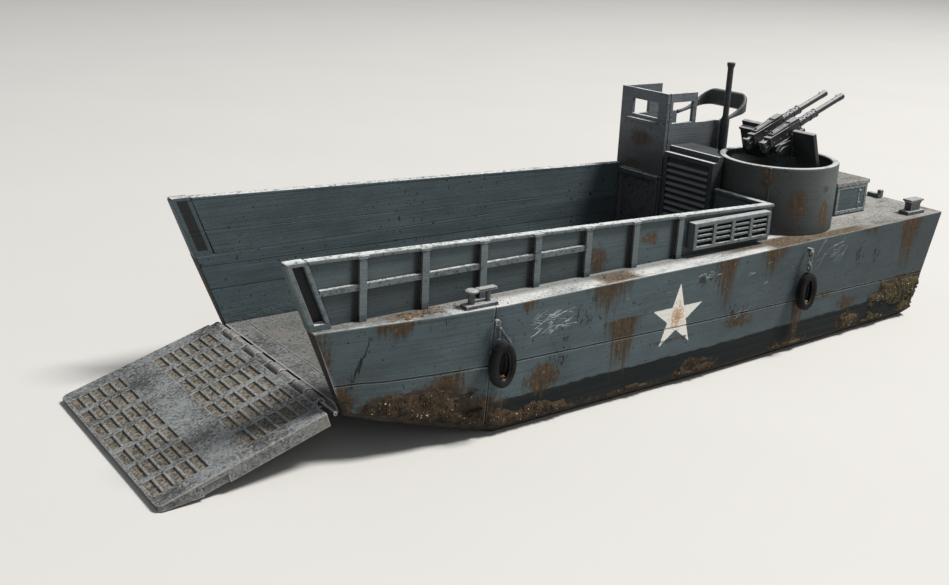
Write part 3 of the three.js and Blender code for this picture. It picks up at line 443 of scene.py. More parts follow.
def hullPaint():
    look = {**paintLook, **hullLook}
    f = Finish("hullPaint", specular=0.25)
    outside = f.aside.size().rise(0.6, 0.85) * f.wide.rise(33.0, 34.0)
    colour, lines, speckle = brushedPaint(f, look["deep"], look["light"], 2.0)
    # darker to the stern, and a band below the waterline with an uneven upper edge
    ragged = f.grain((0.25, 0.25, 0.6), 3.0, 0.6, 15.0)
    boot = (f.z + ragged * 1.6 - 0.8).rise(look["bootTop"] + 0.35, look["bootTop"] - 0.35)
    colour = colour.coat(look["sternShade"], f.x.rise(160.0, 0.0) * 0.55)
    colour = colour.coat(lines.rise(0.35, 0.75).between(*look["boot"]), boot)
    # dark wash and painted shade in the creases
    colour = colour.coat(look["crease"], f.hollows(1.1).rise(0.12, 0.5) * 0.85)
    # the star is under the rust and scratches
    paintWear = f.grain((0.8, 0.8, 1.6), 4.0, 0.7, 31.0)
    star = starMask(f, look["star"]) * outside * paintWear.rise(0.27, 0.40)
    colour = colour.coat(look["starWhite"], star * 0.95)
    centre = f.place.vector("SUBTRACT", (look["star"]["x"], 0.0, look["star"]["z"]))
    flat = centre.vector("MULTIPLY", (0.19, 0.0, 0.14)).long()
    rusty = f.grain((1.3, 1.3, 1.0), 4.0, 0.8, 33.0)
    spread = (1.1 - flat * 1.1 + rusty * 3.4 - 2.2).rise(0.0, 0.4)
    colour = colour.coat(rusty.rise(0.4, 0.62).between(*look["starRust"]), spread * star * 0.9)
    # rust and runs
    streak = f.grain((1.05, 1.0, 0.12), 3.0, 0.62, 19.0)
    fine = f.grain(0.9, 4.0, 0.7, 27.0)
    blooms = patchCover(f.place, look["streaks"], 4.0) + streak * 1.3 + fine * 1.1 - 1.35
    amount = runCover(f, look["runs"], 29.0).most(blooms) + fine * 0.5 - 0.25
    colour, amount = stainOver(f, colour, amount, outside)
    chip = patchCover(f.place, look["chips"], 5.0).rise(0.0, 0.5)
    chip = chip * f.grain((0.95, 0.8, 0.55), 2.0, 0.5, 37.0).rise(0.56, 0.60)
    colour = colour.coat(look["chip"], chip * outside * 0.9)
    for x0, z0, x1, z1, half in look["gouges"]:
        length = math.hypot(x1 - x0, z1 - z0)
        ux, uz = (x1 - x0) / length, (z1 - z0) / length
        along = (f.x - x0) * ux + (f.z - z0) * uz
        off = ((f.x - x0) * uz - (f.z - z0) * ux + (streak - 0.5) * 3.2).size()
        inside = (off.rise(half * 1.3, half * 0.5) * along.rise(-0.5, 1.0)
                  * along.rise(length + 0.5, length - 1.0))
        colour = colour.coat(look["gouge"], inside * (fine * 1.6).rise(0.5, 0.8) * outside * 0.9)
    values = {"Vector": f.place, "Angle": look["scratchLean"]}
    turned = f.place.node("ShaderNodeVectorRotate", {"rotation_type": "Y_AXIS"}, values)
    hatch = turned.grain((0.17, 0.2, 2.6), 2.0, 0.5, 5.0)
    scratch = patchCover(f.place, look["scratches"], 2.0).rise(0.0, 0.35) * hatch.rise(0.62, 0.67) * outside
    colour = colour.coat(look["bare"], scratch * 0.8)
    # mud low down
    clot = f.grain((0.5, 0.5, 0.7), 5.0, 0.72, 45.0)
    wet = (patchCover(f.place, look["mud"], 3.0) + clot * 1.5 - 0.62).rise(0.0, 0.4)
    colour = colour.coat(clot.rise(0.42, 0.68).between(*look["mudTones"]), wet * outside * 0.92)
    under = f.upright.rise(-0.12, -0.35)
    colour = colour.coat(clot.rise(0.4, 0.65).between(*look["underTones"]), under * 0.92)
    deck, speck = deckCover(f, look)
    colour = colour.coat(deck, f.z.rise(33.0, 34.0) * f.upright.rise(0.7, 0.9))
    edge = (f.edges(0.5).rise(0.08, 0.4) * (speck * 1.2 + 0.25)).rise(0.2, 0.7) * f.wide.rise(32.0, 33.0)
    colour = colour.coat(look["deckEdge"], edge * 0.85 * (1.0 - wet * 0.9))
    rough = (lines * 0.25 + speckle * 0.2 + 0.45 + amount * 0.15).most(0.45).most(boot * 0.9)
    height = lines * 0.75 + speckle * 0.3 + amount * fine * 0.8 + wet * clot * 2.0
    return f.finish(colour, rough, height, 0.18)


deckLook = {
    "deep": (0.085, 0.088, 0.086), "light": (0.20, 0.198, 0.188), "pale": (0.42, 0.41, 0.39),
    "soil": (0.16, 0.12, 0.078), "grit": (0.34, 0.30, 0.25), "pit": (0.020, 0.018, 0.014),
    "crease": (0.022, 0.020, 0.016), "soilAmount": 0.6, "edgeAmount": 0.7, "tread": False,
}
rampLook = {
    "hinge": (233.4, 13.6), "slope": 17.0, "top": 1.3,      # top is from the hinge line to the upper face
    "tip": 277.3, "half": 34.4, "corner": 1.8, "cuts": (30.0, 60.0),
    "earth": ((0.032, 0.027, 0.020), (0.36, 0.315, 0.25)), "rubbed": (0.30, 0.335, 0.35),
}


def deckPaint(name, **changes):
    # trodden, dusty grey with earth in the hollows and worn edges
    look = {**deckLook, **changes}
    f = Finish(name, specular=0.35)
    broad = f.grain(0.08, 4.0, 0.65, 7.0)
    fine = f.grain(1.3, 4.0, 0.72, 9.0)
    scuff = f.grain((0.5, 2.4, 0.5), 2.0, 0.6, 13.0)
    pits = f.grain(0.8, 3.0, 0.65, 19.0)
    colour = (broad * 0.6 + fine + scuff * 0.2).rise(0.66, 1.12).between(look["deep"], look["light"])
    colour = colour.coat(look["pit"], pits.rise(0.585, 0.64) * 0.75)
    colour = colour.coat(look["soil"], (broad * 0.9 + fine * 0.5).rise(0.78, 0.92) * look["soilAmount"])
    if look["tread"]:
        # earth packed in the sunk squares, bare metal rubbed bright between them
        slope, top = math.radians(rampLook["slope"]), rampLook["top"]
        x, z = rampLook["hinge"]
        above = (f.z - z) * math.cos(slope) + (f.x - x) * math.sin(slope)
        up = f.upright.rise(0.7, 0.9)
        packed = above.rise(top - 0.25, top - 0.45) * up * f.x.rise(236.5, 237.5)
        earth = (fine * 0.8 + pits * 0.5).rise(0.48, 0.84).between(*rampLook["earth"])
        colour = colour.coat(earth, packed * 0.8)
        rubbed = above.rise(top - 0.2, top - 0.05) * up * (broad * 0.7 + fine * 0.9).rise(0.72, 1.0)
        colour = colour.coat(rampLook["rubbed"], rubbed * 0.75)
    # painted shade in the creases and the sunk squares
    colour = colour.coat(look["crease"], f.hollows(1.4).rise(0.18, 0.75) * 0.8)
    colour = colour.coat(look["grit"], fine.rise(0.66, 0.72) * f.upright.rise(0.4, 0.8) * 0.6)
    edge = (f.edges(0.5).rise(0.08, 0.4) * (fine * 1.5 + 0.1)).rise(0.3, 0.8)
    colour = colour.coat(look["pale"], edge * look["edgeAmount"])
    return f.finish(colour, (fine * 0.3 + 0.5).most(0.5), fine + broad * 0.4 + scuff * 0.2, 0.30)


darkLook = {"edgeAmount": 0.7, "topAmount": 0.75, "roughness": 0.5, "reach": 0.35, "lips": None}


def darkPaint(name, deep, light, pale, **changes):
    # darker fittings with dry-brushed edges, tops both dry-brushed and painted as a highlight; the lip tone
    # is the painted highlight on the louvres' front edges
    look = {**darkLook, **changes}
    f = Finish(name, look["roughness"], 0.5)
    broad = f.grain(0.3, 3.0, 0.6, 17.0)
    fine = f.grain(2.0, 3.0, 0.7, 21.0)
    colour = (broad * 0.7 + fine * 0.4).rise(0.4, 0.75).between(deep, light)
    # painted shade in the piece's own hollows
    colour = colour.coat(tuple(0.35 * c for c in deep), f.hollows(0.8).rise(0.2, 0.8) * 0.7)
    # painted highlight on the louvres' front edges
    if look["lips"]:
        colour = colour.coat(look["lips"], f.x.rise(86.15, 86.62) * (fine * 0.6 + 0.55))
    # tops lighter: dry-brushed paint and a painted highlight
    top = f.upright.rise(0.45, 0.95) * (broad * 0.6 + fine * 0.8).rise(0.3, 0.75)
    colour = colour.coat(pale, top * look["topAmount"])
    edge = (f.edges(look["reach"]).rise(0.10, 0.45) * (fine * 1.3 + 0.25)).rise(0.25, 0.75)
    colour = colour.coat(pale, edge * look["edgeAmount"])
    return f.finish(colour, (fine * 0.3 + look["roughness"] - 0.15).most(0.3), fine + broad * 0.5, 0.10)


def rubber():
    f = Finish("tyreRubber", 0.8, 0.12)
    broad = f.grain(0.25, 3.0, 0.6, 3.0)
    fine = f.grain(1.8, 3.0, 0.7, 5.0)
    colour = (broad + fine * 0.4).rise(0.45, 0.9).between((0.004, 0.004, 0.005), (0.016, 0.016, 0.016))
    edge = (f.edges(0.45).rise(0.1, 0.5) * (fine * 1.4)).rise(0.35, 0.85)
    colour = colour.coat((0.13, 0.13, 0.125), edge * 0.6)
    # dried mud caught at the foot of each ring
    mud = fine.rise(0.4, 0.7).between((0.16, 0.12, 0.075), (0.42, 0.36, 0.27))
    colour = colour.coat(mud, (f.z + broad * 3.0).rise(17.2, 15.2) * fine.rise(0.4, 0.6))
    return f.finish(colour, (fine * 0.3 + 0.55).most(0.5), fine, 0.12)


def soilFinish(name, low, high, pale):
    f = Finish(name, 0.85, 0.3)
    broad = f.grain(0.35, 4.0, 0.7, 3.0)
    fine = f.grain(2.2, 4.0, 0.75, 5.0)
    colour = (broad * 0.8 + fine * 0.6).rise(0.5, 0.9).between(low, high)
    colour = colour.coat(pale, fine.rise(0.62, 0.70) * 0.6)
    return f.finish(colour, (fine * 0.3 + 0.6).most(0.55), fine, 0.25)


def flakes(name, low, high):
    # each loose bit takes its own shade from where it lies
    f = Finish(name, 0.85, 0.3)
    shade = f.place.node("ShaderNodeTexVoronoi", {}, {"Vector": f.place, "Scale": 0.9}, 1).parts()[0]
    fine = f.grain(3.0, 3.0, 0.7, 5.0)
    colour = (shade * 0.9 + fine * 0.3).rise(0.15, 1.0).between(low, high)
    return f.finish(colour, (fine * 0.3 + 0.6).most(0.55), fine, 0.1)


finishes = {
    "hull": hullPaint(),
    "works": seaPaint(
        "seaGreyWorks", ribbed=True,
        rows=[(133.5, 43.0, 3.4, 1.9, 1.15), (152.6, 39.5, 4.0, 4.4, 1.05), (118.0, 45.5, 2.0, 2.0, 0.6)],
    ),
    # painted shade low on the console
    "console": seaPaint(
        "consoleGrey", deep=(0.082, 0.096, 0.106), light=(0.152, 0.172, 0.190), shade=(50.0, 66.0, 0.58),
        foreRows=[(-22.5, 57.6, 6.0, 3.2, 1.0), (-25.0, 49.0, 3.5, 1.6, 0.7)],
    ),
    # painted shade low on the tub and on its side towards the bow
    "tub": seaPaint(
        "tubGrey", deep=(0.048, 0.056, 0.057), light=(0.092, 0.108, 0.108), dust=(0.62, 0.63, 0.62),
        shade=(38.0, 52.0, 0.35), lee=0.5,
        rows=[
            (73.0, 45.5, 3.2, 5.6, 1.5), (62.6, 41.5, 2.4, 5.4, 1.4), (80.4, 53.8, 1.2, 3.8, 1.3),
            (63.0, 50.5, 1.4, 1.2, 0.9),
        ],
    ),
    # the vent's creases and openings are near black as painted shade, its bow faces darker as painted shade
    "vent": seaPaint(
        "ventGrey", deep=(0.050, 0.061, 0.065), light=(0.098, 0.116, 0.122), dirt=(0.003, 0.004, 0.004),
        grime=0.7, deepest=(0.35, 0.7), gaps=True, lee=0.9,
    ),
    "housing": seaPaint(
        "housingGrey", deep=(0.018, 0.023, 0.025), light=(0.048, 0.058, 0.062), dust=(0.060, 0.068, 0.072),
        pale=(0.62, 0.65, 0.66), ridges=((83.4, 84.4), (85.2, 86.8)),
    ),
    "lid": deckPaint(
        "lidDust", deep=(0.13, 0.125, 0.12), light=(0.33, 0.32, 0.305), soilAmount=0.5, edgeAmount=0.9,
    ),
    "scratch": flakes("paleScratch", (0.15, 0.175, 0.185), (0.42, 0.45, 0.46)),
    # near-black painted shade between the slats, with painted highlight on their front edges
    "louvre": darkPaint(
        "louvreGrey", (0.002, 0.003, 0.003), (0.006, 0.008, 0.009), (0.25, 0.28, 0.29),
        edgeAmount=0.5, topAmount=0.5, roughness=0.6, reach=0.2, lips=(0.150, 0.175, 0.185),
    ),
    "deck": deckPaint("deckDust"),
    "ramp": deckPaint(
        "rampTread", deep=(0.040, 0.044, 0.044), light=(0.24, 0.245, 0.24), grit=(0.46, 0.43, 0.37),
        soil=(0.13, 0.10, 0.062), soilAmount=0.9, edgeAmount=0.95, tread=True,
    ),
    "fitting": darkPaint(
        "fittingGrey", (0.022, 0.028, 0.031), (0.075, 0.088, 0.092), (0.50, 0.51, 0.50), edgeAmount=0.8,
    ),
    "band": darkPaint(
        "bandGrey", (0.014, 0.018, 0.019), (0.045, 0.055, 0.058), (0.16, 0.18, 0.18), edgeAmount=0.5,
    ),
    "gun": darkPaint(
        "gunBlack", (0.004, 0.005, 0.006), (0.013, 0.015, 0.017), (0.42, 0.42, 0.43),
        edgeAmount=0.35, topAmount=1.0, reach=0.12,
    ),
    "rubber": rubber(),
    "soil": soilFinish("driedMud", (0.010, 0.007, 0.004), (0.066, 0.041, 0.018), (0.24, 0.18, 0.10)),
    "growth": soilFinish("driedGrowth", (0.014, 0.013, 0.006), (0.085, 0.060, 0.022), (0.24, 0.18, 0.09)),
    "leaf": flakes("looseLeaf", (0.055, 0.030, 0.018), (0.30, 0.19, 0.11)),
    "grit": flakes("paleGrit", (0.10, 0.08, 0.05), (0.52, 0.46, 0.37)),
}
print("finishes made:", len(finishes))


def meshOf(node):
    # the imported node's own surface with flat faces joined again
    bm = bmesh.new()
    bm.from_mesh(nodes[node].data)
    bmesh.ops.remove_doubles(bm, verts=bm.verts, dist=0.003 * mm)
    bmesh.ops.dissolve_limit(bm, angle_limit=math.radians(0.5), verts=bm.verts, edges=bm.edges)
    return bm


def soften(bm, width, segments=2, angle=30.0, pick=None):
    # rounds the sharp edges, as on a casting
    sharp = [
        e for e in bm.edges
        if len(e.link_faces) == 2 and e.calc_face_angle(0.0) > math.radians(angle)
        and (pick is None or pick(e))
    ]
    settings = {"offset": width * mm, "offset_type": "OFFSET", "segments": segments, "profile": 0.6}
    bmesh.ops.bevel(bm, geom=sharp, affect="EDGES", clamp_overlap=False, **settings)


def sinkLine(bm, point, normal, width, outward, keep):
    # a groove where a plane crosses the kept faces; outward is its push from the centre line
    for share in (-1.0, -0.3, 0.3, 1.0):
        faces = [f for f in bm.faces if keep(f)]
        edges = dict.fromkeys(e for f in faces for e in f.edges)
        verts = dict.fromkeys(v for f in faces for v in f.verts)
        where = point + normal * (share * width / 2 * mm)
        bmesh.ops.bisect_plane(bm, geom=[*verts, *edges, *faces], dist=1e-7, plane_co=where, plane_no=normal)
    for v in bm.verts:
        if abs((v.co - point).dot(normal)) < width * 0.2 * mm and any(keep(f) for f in v.link_faces):
            v.co.y += (outward if v.co.y > 0 else -outward) * mm


def addPiece(name, bm, finish, body="craft", stands=(), sharp=38.0):
    bmesh.ops.recalc_face_normals(bm, faces=bm.faces)
    mesh = bpy.data.meshes.new(name)
    bm.to_mesh(mesh)
    bm.free()
    mesh.shade_smooth()
    mesh.set_sharp_from_angle(angle=math.radians(sharp))
    mesh.materials.append(finishes[finish])
    piece = bpy.data.objects.new(name, mesh)
    bpy.context.scene.collection.objects.link(piece)
    piece.modifiers.new("flatFaces", "WEIGHTED_NORMAL").keep_sharp = True
    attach(piece, body)
    if stands:
        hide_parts(*stands)


def lump(bm, centre, radii, seed, detail=1, turn=None):
    # an irregular pebble or flake
    for v in bmesh.ops.create_icosphere(bm, subdivisions=detail, radius=1.0)["verts"]:
        push = 0.75 + 0.5 * noise.noise(v.co * 1.7 + Vector((seed, seed * 0.37, -seed)))
        size = Vector((v.co.x * radii[0], v.co.y * radii[1], v.co.z * radii[2])) * push
        v.co = centre + (turn @ size if turn else size) * mm


def skin(bm, rings, closed=False):
    # faces between rings; open ends are capped
    made = []
    for a, b in zip(rings, rings[1:] + rings[:1] if closed else rings[1:]):
        for k in range(len(a)):
            following = (k + 1) % len(a)
            made.append(bm.faces.new((a[k], a[following], b[following], b[k])))
    if not closed:
        bm.faces.new(reversed(rings[0]))
        bm.faces.new(rings[-1])
    return made


def tube(bm, points, radii, around):
    # a round bar through table points, with a radius for each
    path = [spot(*p) for p in points]
    rings = []
    side = None
    for i, (here, radius) in enumerate(zip(path, radii)):
        along = (path[min(i + 1, len(path) - 1)] - path[max(i - 1, 0)]).normalized()
        if side is None:
            side = along.orthogonal().normalized()
        side = (side - along * side.dot(along)).normalized()
        up = along.cross(side)
        turns = [2 * math.pi * k / around for k in range(around)]
        rings.append(
            [bm.verts.new(here + (side * math.cos(a) + up * math.sin(a)) * radius * mm) for a in turns])
    skin(bm, rings)


def lathe(bm, base, axis, profile, around, closed=False, squash=(1.0, 1.0)):
    # rings of (distance along the axis, radius) from a table point; squash scales across the axis
    start = spot(*base)
    side = Vector(upward) if abs(axis.z) < 0.9 else Vector(forward)
    side = (side - axis * side.dot(axis)).normalized()
    up = axis.cross(side)
    turns = [2 * math.pi * (k + 0.5) / around for k in range(around)]
    out = [side * (math.cos(a) * squash[0]) + up * (math.sin(a) * squash[1]) for a in turns]
    rings = [
        [bm.verts.new(start + (axis * far + way * radius) * mm) for way in out]
        for far, radius in profile]
    return skin(bm, rings, closed)


def prism(outline, y0, y1):
    # a bmesh plate from an outline of (x, z), between two widths
    bm = bmesh.new()
    near = [bm.verts.new(spot(x, y0, z)) for x, z in outline]
    far = [bm.verts.new(spot(x, y1, z)) for x, z in outline]
    bm.faces.new(near)
    bm.faces.new(reversed(far))
    for i in range(len(outline)):
        following = (i + 1) % len(outline)
        bm.faces.new((near[i], far[i], far[following], near[following]))
    bmesh.ops.recalc_face_normals(bm, faces=bm.faces)
    return bm


def slab(outline, y0, y1, width=0.14, segments=2, flush=None):
    # a plate with rounded edges; flush names the y of a face that stays sharp against its neighbour
    bm = prism(outline, y0, y1)
    clear = None if flush is None else lambda e: any(abs(v.co.y - flush * mm) > 1e-6 for v in e.verts)
    soften(bm, width, segments, 30.0, clear)
    return bm


def oblong(x0, x1, z0, z1):
    return [(x0, z0), (x1, z0), (x1, z1), (x0, z1)]


def gather(pieces, mirror=False):
    # several bmeshes in one, mirrored to the other side if asked
    whole = bmesh.new()
    for part in pieces:
        mesh = bpy.data.meshes.new("part")
        part.to_mesh(mesh)
        part.free()
        whole.from_mesh(mesh)
        bpy.data.meshes.remove(mesh)
    if mirror:
        for v in whole.verts:
            v.co.y = -v.co.y
        bmesh.ops.reverse_faces(whole, faces=whole.faces)
    return whole


def outerSide(f):
    return abs(f.normal.y) > 0.7 and abs(backTo(f.calc_center_median()).y) > 34.0


def wellSide(f):
    middle = backTo(f.calc_center_median())
    return abs(f.normal.y) > 0.7 and 31.0 < abs(middle.y) < 32.2 and middle.x > 84.0


def innerFace(f):
    return abs(f.normal.y) > 0.7 and f.calc_center_median().y < (coamingLook["inner"] + 0.5) * mm


def buildHull():
    look = hullLook
    bm = meshOf("hull")
    soften(bm, 0.35, 3, 24.0)
    low, rise = look["seam"]
    along = Vector((1.0, 0.0, rise)).normalized()
    sinkLine(bm, spot(0.0, 0.0, low), Vector((-along.z, 0.0, along.x)), *look["seamGroove"], outerSide)
    x, lean = look["frame"]
    sinkLine(bm, spot(x, 0.0, 0.0), Vector((1.0, 0.0, lean)).normalized(), *look["frameGroove"], outerSide)
    plankNormal = Vector((look["plankFall"], 0.0, 1.0)).normalized()
    for z in look["innerPlanks"]:
        sinkLine(bm, spot(0.0, 0.0, z), plankNormal, *look["plankGroove"], wellSide)
    addPiece("hull_casting", bm, "hull", stands=["hull"])


buildHull()
print("hull built")

castings = [
    # node, finish, edge radius, segments, seat if glued; a name ending in _ has a port and a starboard node
    ("well_floor", "deck", 0.12, 1), ("bow_sill", "ramp", 0.15, 2), ("hinge_pin", "fitting", 0.08, 1),
    ("bow_post_", "works", 0.22, 2, 0.4), ("bulkhead", "works", 0.14, 2),
    ("vent_housing", "housing", 0.2, 2, 0.4), ("vent_louvres", "louvre", 0.08, 1),
    ("side_vent_", "vent", 0.10, 1), ("console_front", "console", 0.16, 2),
    ("console_lower", "console", 0.14, 2), ("console_side_", "console", 0.16, 2, 0.4),
    ("console_floor", "deck", 0.15, 1, 0.4), ("exhaust_pipe", "band", 0.2, 2, 0.4),
    ("tub_floor", "deck", 0.12, 1), ("gun_pedestal", "works", 0.15, 2),
    ("hatch_box", "works", 0.2, 2, 0.4), ("hatch_lid", "lid", 0.22, 2, 0.4),
    ("bollard_stern_", "fitting", 0.14, 2, 0.4), ("bollard_bow_", "fitting", 0.12, 2, 0.4),
    ("cleat_stern_", "fitting", 0.16, 2, 0.4),
]
bodyOf = {n: body for body, members in frame["record"]["behaviour"]["bodies"].items() for n in members}


def castNode(name, finish, width, segments, seat=0.0, angle=30.0):
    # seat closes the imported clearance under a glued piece
    for node in [name + side for side, _ in sides] if name.endswith("_") else [name]:
        bm = meshOf(node)
        low = min(v.co.z for v in bm.verts)
        for v in bm.verts:
            if seat and v.co.z < low + 0.06 * mm:
                v.co.z -= seat * mm
        soften(bm, width, segments, angle)
        addPiece(node + "_cast", bm, finish, bodyOf[node], [node])


for row in castings:
    castNode(*row)
print("castings built")


def deckFoot(x):
    return coamingLook["footZ"] - coamingLook["footFall"] * x / stemLook["deckEdge"]


def capTop(x):
    (x0, z0), (run, climb) = coamingLook["capStart"], coamingLook["capRun"]
    return z0 + climb * (x - x0) / run


def capLow(x):
    return capTop(x) - coamingLook["capTall"]


def coamingParts():
    c = coamingLook
    aft, half = c["aft"], c["ribWide"] / 2
    foreTop, foreFoot = stemX(stemLook["topZ"]) - c["fore"], stemX(stemLook["footZ"]) - c["fore"]
    outline = [(aft, deckFoot(aft)), (foreFoot, deckFoot(foreFoot)), (foreTop - 0.3, capLow(foreTop) + 0.1)]
    wall = slab([*outline, (aft, capLow(aft) + 0.1)], c["inner"], c["outer"], 0.1, 1)
    run, climb = c["capRun"]
    slope = Vector((run, 0.0, climb)).normalized()
    x, drop = c["plank"]
    sinkLine(wall, spot(x, 0.0, capTop(x) - drop), Vector((-slope.z, 0.0, slope.x)), *c["groove"], innerFace)
    outline = [(aft - 0.1, capLow(aft)), (foreTop - 0.4, capLow(foreTop)), (foreTop - 0.1, capTop(foreTop))]
    cap = slab([*outline, (aft - 0.1, capTop(aft))], c["inner"] - 0.05, c["capOuter"], 0.26, 3)
    railAft = c["ribX"] - c["railRibs"] * c["ribPitch"]
    railFore = foreFoot + stemLook["rake"] * (c["railZ"][0] - stemLook["footZ"]) + 0.25
    rail = slab(oblong(railAft, railFore, *c["railZ"]), c["outer"], c["railOuter"], 0.16, 2, c["outer"])
    parts = [wall, cap, rail]
    for i in range(c["ribs"]):
        x = c["ribX"] - i * c["ribPitch"]
        shape = oblong(x - half, x + half, deckFoot(x - half), capTop(x) - 0.5 * c["capTall"])
        parts.append(slab(shape, c["outer"], c["ribOuter"], 0.16, 2, c["outer"]))
        t = c["tabHalf"]
        shape = oblong(x - t, x + t, capLow(x - t) + 0.2, capTop(x - t) - 0.05)
        parts.append(slab(shape, c["outer"], c["tabOuter"], 0.16, 2, c["outer"]))
    return parts


for side, sign in sides:
    whole = gather(coamingParts(), sign < 0)
    addPiece("coaming_" + side + "_built", whole, "works", "craft", ["coaming_" + side])
print("coamings built")


def buildRamp():
    r = rampLook
    bm = meshOf("ramp")
    # rounded tip corners: two cuts each
    for _, sign in sides:
        for angle in r["cuts"]:
            turn = math.radians(angle)
            normal = Vector((math.cos(turn), sign * math.sin(turn), 0.0))
            where = (spot(r["tip"] - r["corner"], sign * (r["half"] - r["corner"]), 0.0)
                     + normal * r["corner"] * mm)
            everything = [*bm.verts, *bm.edges, *bm.faces]
            settings = {"dist": 1e-7, "plane_co": where, "plane_no": normal, "clear_outer": True}
            cut = bmesh.ops.bisect_plane(bm, geom=everything, **settings)["geom_cut"]
            bmesh.ops.edgeloop_fill(bm, edges=[e for e in cut if isinstance(e, bmesh.types.BMEdge)])
    bmesh.ops.recalc_face_normals(bm, faces=bm.faces)
    soften(bm, 0.16, 2)
    addPiece("ramp_cast", bm, "ramp", bodyOf["ramp"], ["ramp"])


buildRamp()
castNode("guard_band", "band", 0.2, 2, angle=50.0)
for node in ("gun_carriage", "gun_cradle", "gun_shield_"):
    castNode(node, "gun", 0.12, 2)
for end in ("fore", "aft"):
    castNode(f"fender_line_{end}_", "fitting", 0.08, 1, angle=60.0)

tubLook = {
    "middle": (64.2, 18.1, 0.0), "around": 144,
    # height and radius round the wall, with a rolled rim
    "wall": [
        (36.05, 18.7), (46.0, 18.7), (56.35, 18.7), (56.85, 18.62),
        (57.12, 18.35), (57.2, 17.9), (57.2, 17.2),
        (57.1, 16.75), (56.8, 16.5), (56.4, 16.55), (56.0, 16.9), (55.6, 17.2), (46.0, 17.2), (36.05, 17.2),
    ],
    # angle, foot and height of each weld, its distance from the middle, radius and unevenness
    "welds": (33.0, 208.0), "weldFoot": 36.9, "weldTall": 20.0, "weldOut": 18.62, "bead": (0.40, 0.14),
    "weldSteps": 48,
}


def tubWall():
    bm = bmesh.new()
    lathe(bm, tubLook["middle"], upward, tubLook["wall"], tubLook["around"], True)
    return bm


def tubWelds():
    bm = bmesh.new()
    x, y, _ = tubLook["middle"]
    radius, uneven = tubLook["bead"]
    for angle in tubLook["welds"]:
        turn = math.radians(angle)
        outX, outY = x + tubLook["weldOut"] * math.cos(turn), y + tubLook["weldOut"] * math.sin(turn)
        steps = tubLook["weldSteps"]
        heights = [tubLook["weldFoot"] + tubLook["weldTall"] * i / (steps - 1) for i in range(steps)]
        radii = [radius + uneven * noise.noise(Vector((z * 1.9, angle, 0.0))) for z in heights]
        tube(bm, [(outX, outY, z) for z in heights], radii, 8)
    return bm


addPiece("gun_tub_built", tubWall(), "tub", "craft", ["gun_tub"])

gunLook = {
    # a runs along the barrels from the trunnion, h is square to them
    "pivot": (64.0, 18.1, 64.3), "rise": 20.0, "row": 3.3, "axis": 2.7,
    # outline of (a, h), half width, edge radius, segments: receiver, its cover, feed, back and small parts
    "slabs": [
        ([(-9.9, 1.0), (-1.0, 1.0), (0.4, 1.35), (4.1, 1.35), (4.1, 4.0), (-9.9, 4.0)], 1.25, 0.14, 2),
        ([(-9.1, 3.9), (-1.0, 3.9), (-1.0, 4.75), (-8.6, 4.55)], 0.98, 0.16, 2),
        ([(-0.7, 3.9), (3.9, 3.9), (3.5, 5.0), (-0.4, 5.05)], 1.2, 0.22, 3),
        (oblong(-10.4, -9.8, 0.9, 4.15), 1.32, 0.12, 2),
        ([(-12.5, -0.1), (-10.2, 0.2), (-10.2, 1.7), (-12.0, 1.7)], 0.85, 0.18, 2),
        (oblong(-13.0, -12.3, 2.9, 3.6), 1.1, 0.12, 2),
        (oblong(-6.0, -2.0, 0.2, 1.1), 0.6, 0.1, 2),
        ([(-8.2, 4.4), (-7.5, 4.4), (-7.6, 5.2), (-7.9, 5.2)], 0.22, 0.05, 1),
    ],
    "ridge": [(-8.3, 4.4), (-1.6, 4.6), (-1.6, 4.98), (-8.1, 4.78)], "ridges": (-0.62, 0.62),
    "bolts": [-8.8, -5.8, -2.8, 0.2, 3.2],
    "sleeve": (5.0, 12.2, 1.34), "holeRings": 13, "around": 16, "barrel": 0.98, "muzzle": (23.4, 25.8, 1.06),
}


def aimed(bm):
    # from the guns' own axes to the mount
    px, py, pz = gunLook["pivot"]
    turn = math.radians(gunLook["rise"])
    c, s = math.cos(turn), math.sin(turn)
    for v in bm.verts:
        a, y, h = backTo(v.co)
        v.co = spot(px - a * c + h * s, py + y, pz + a * s + h * c)
    return bm


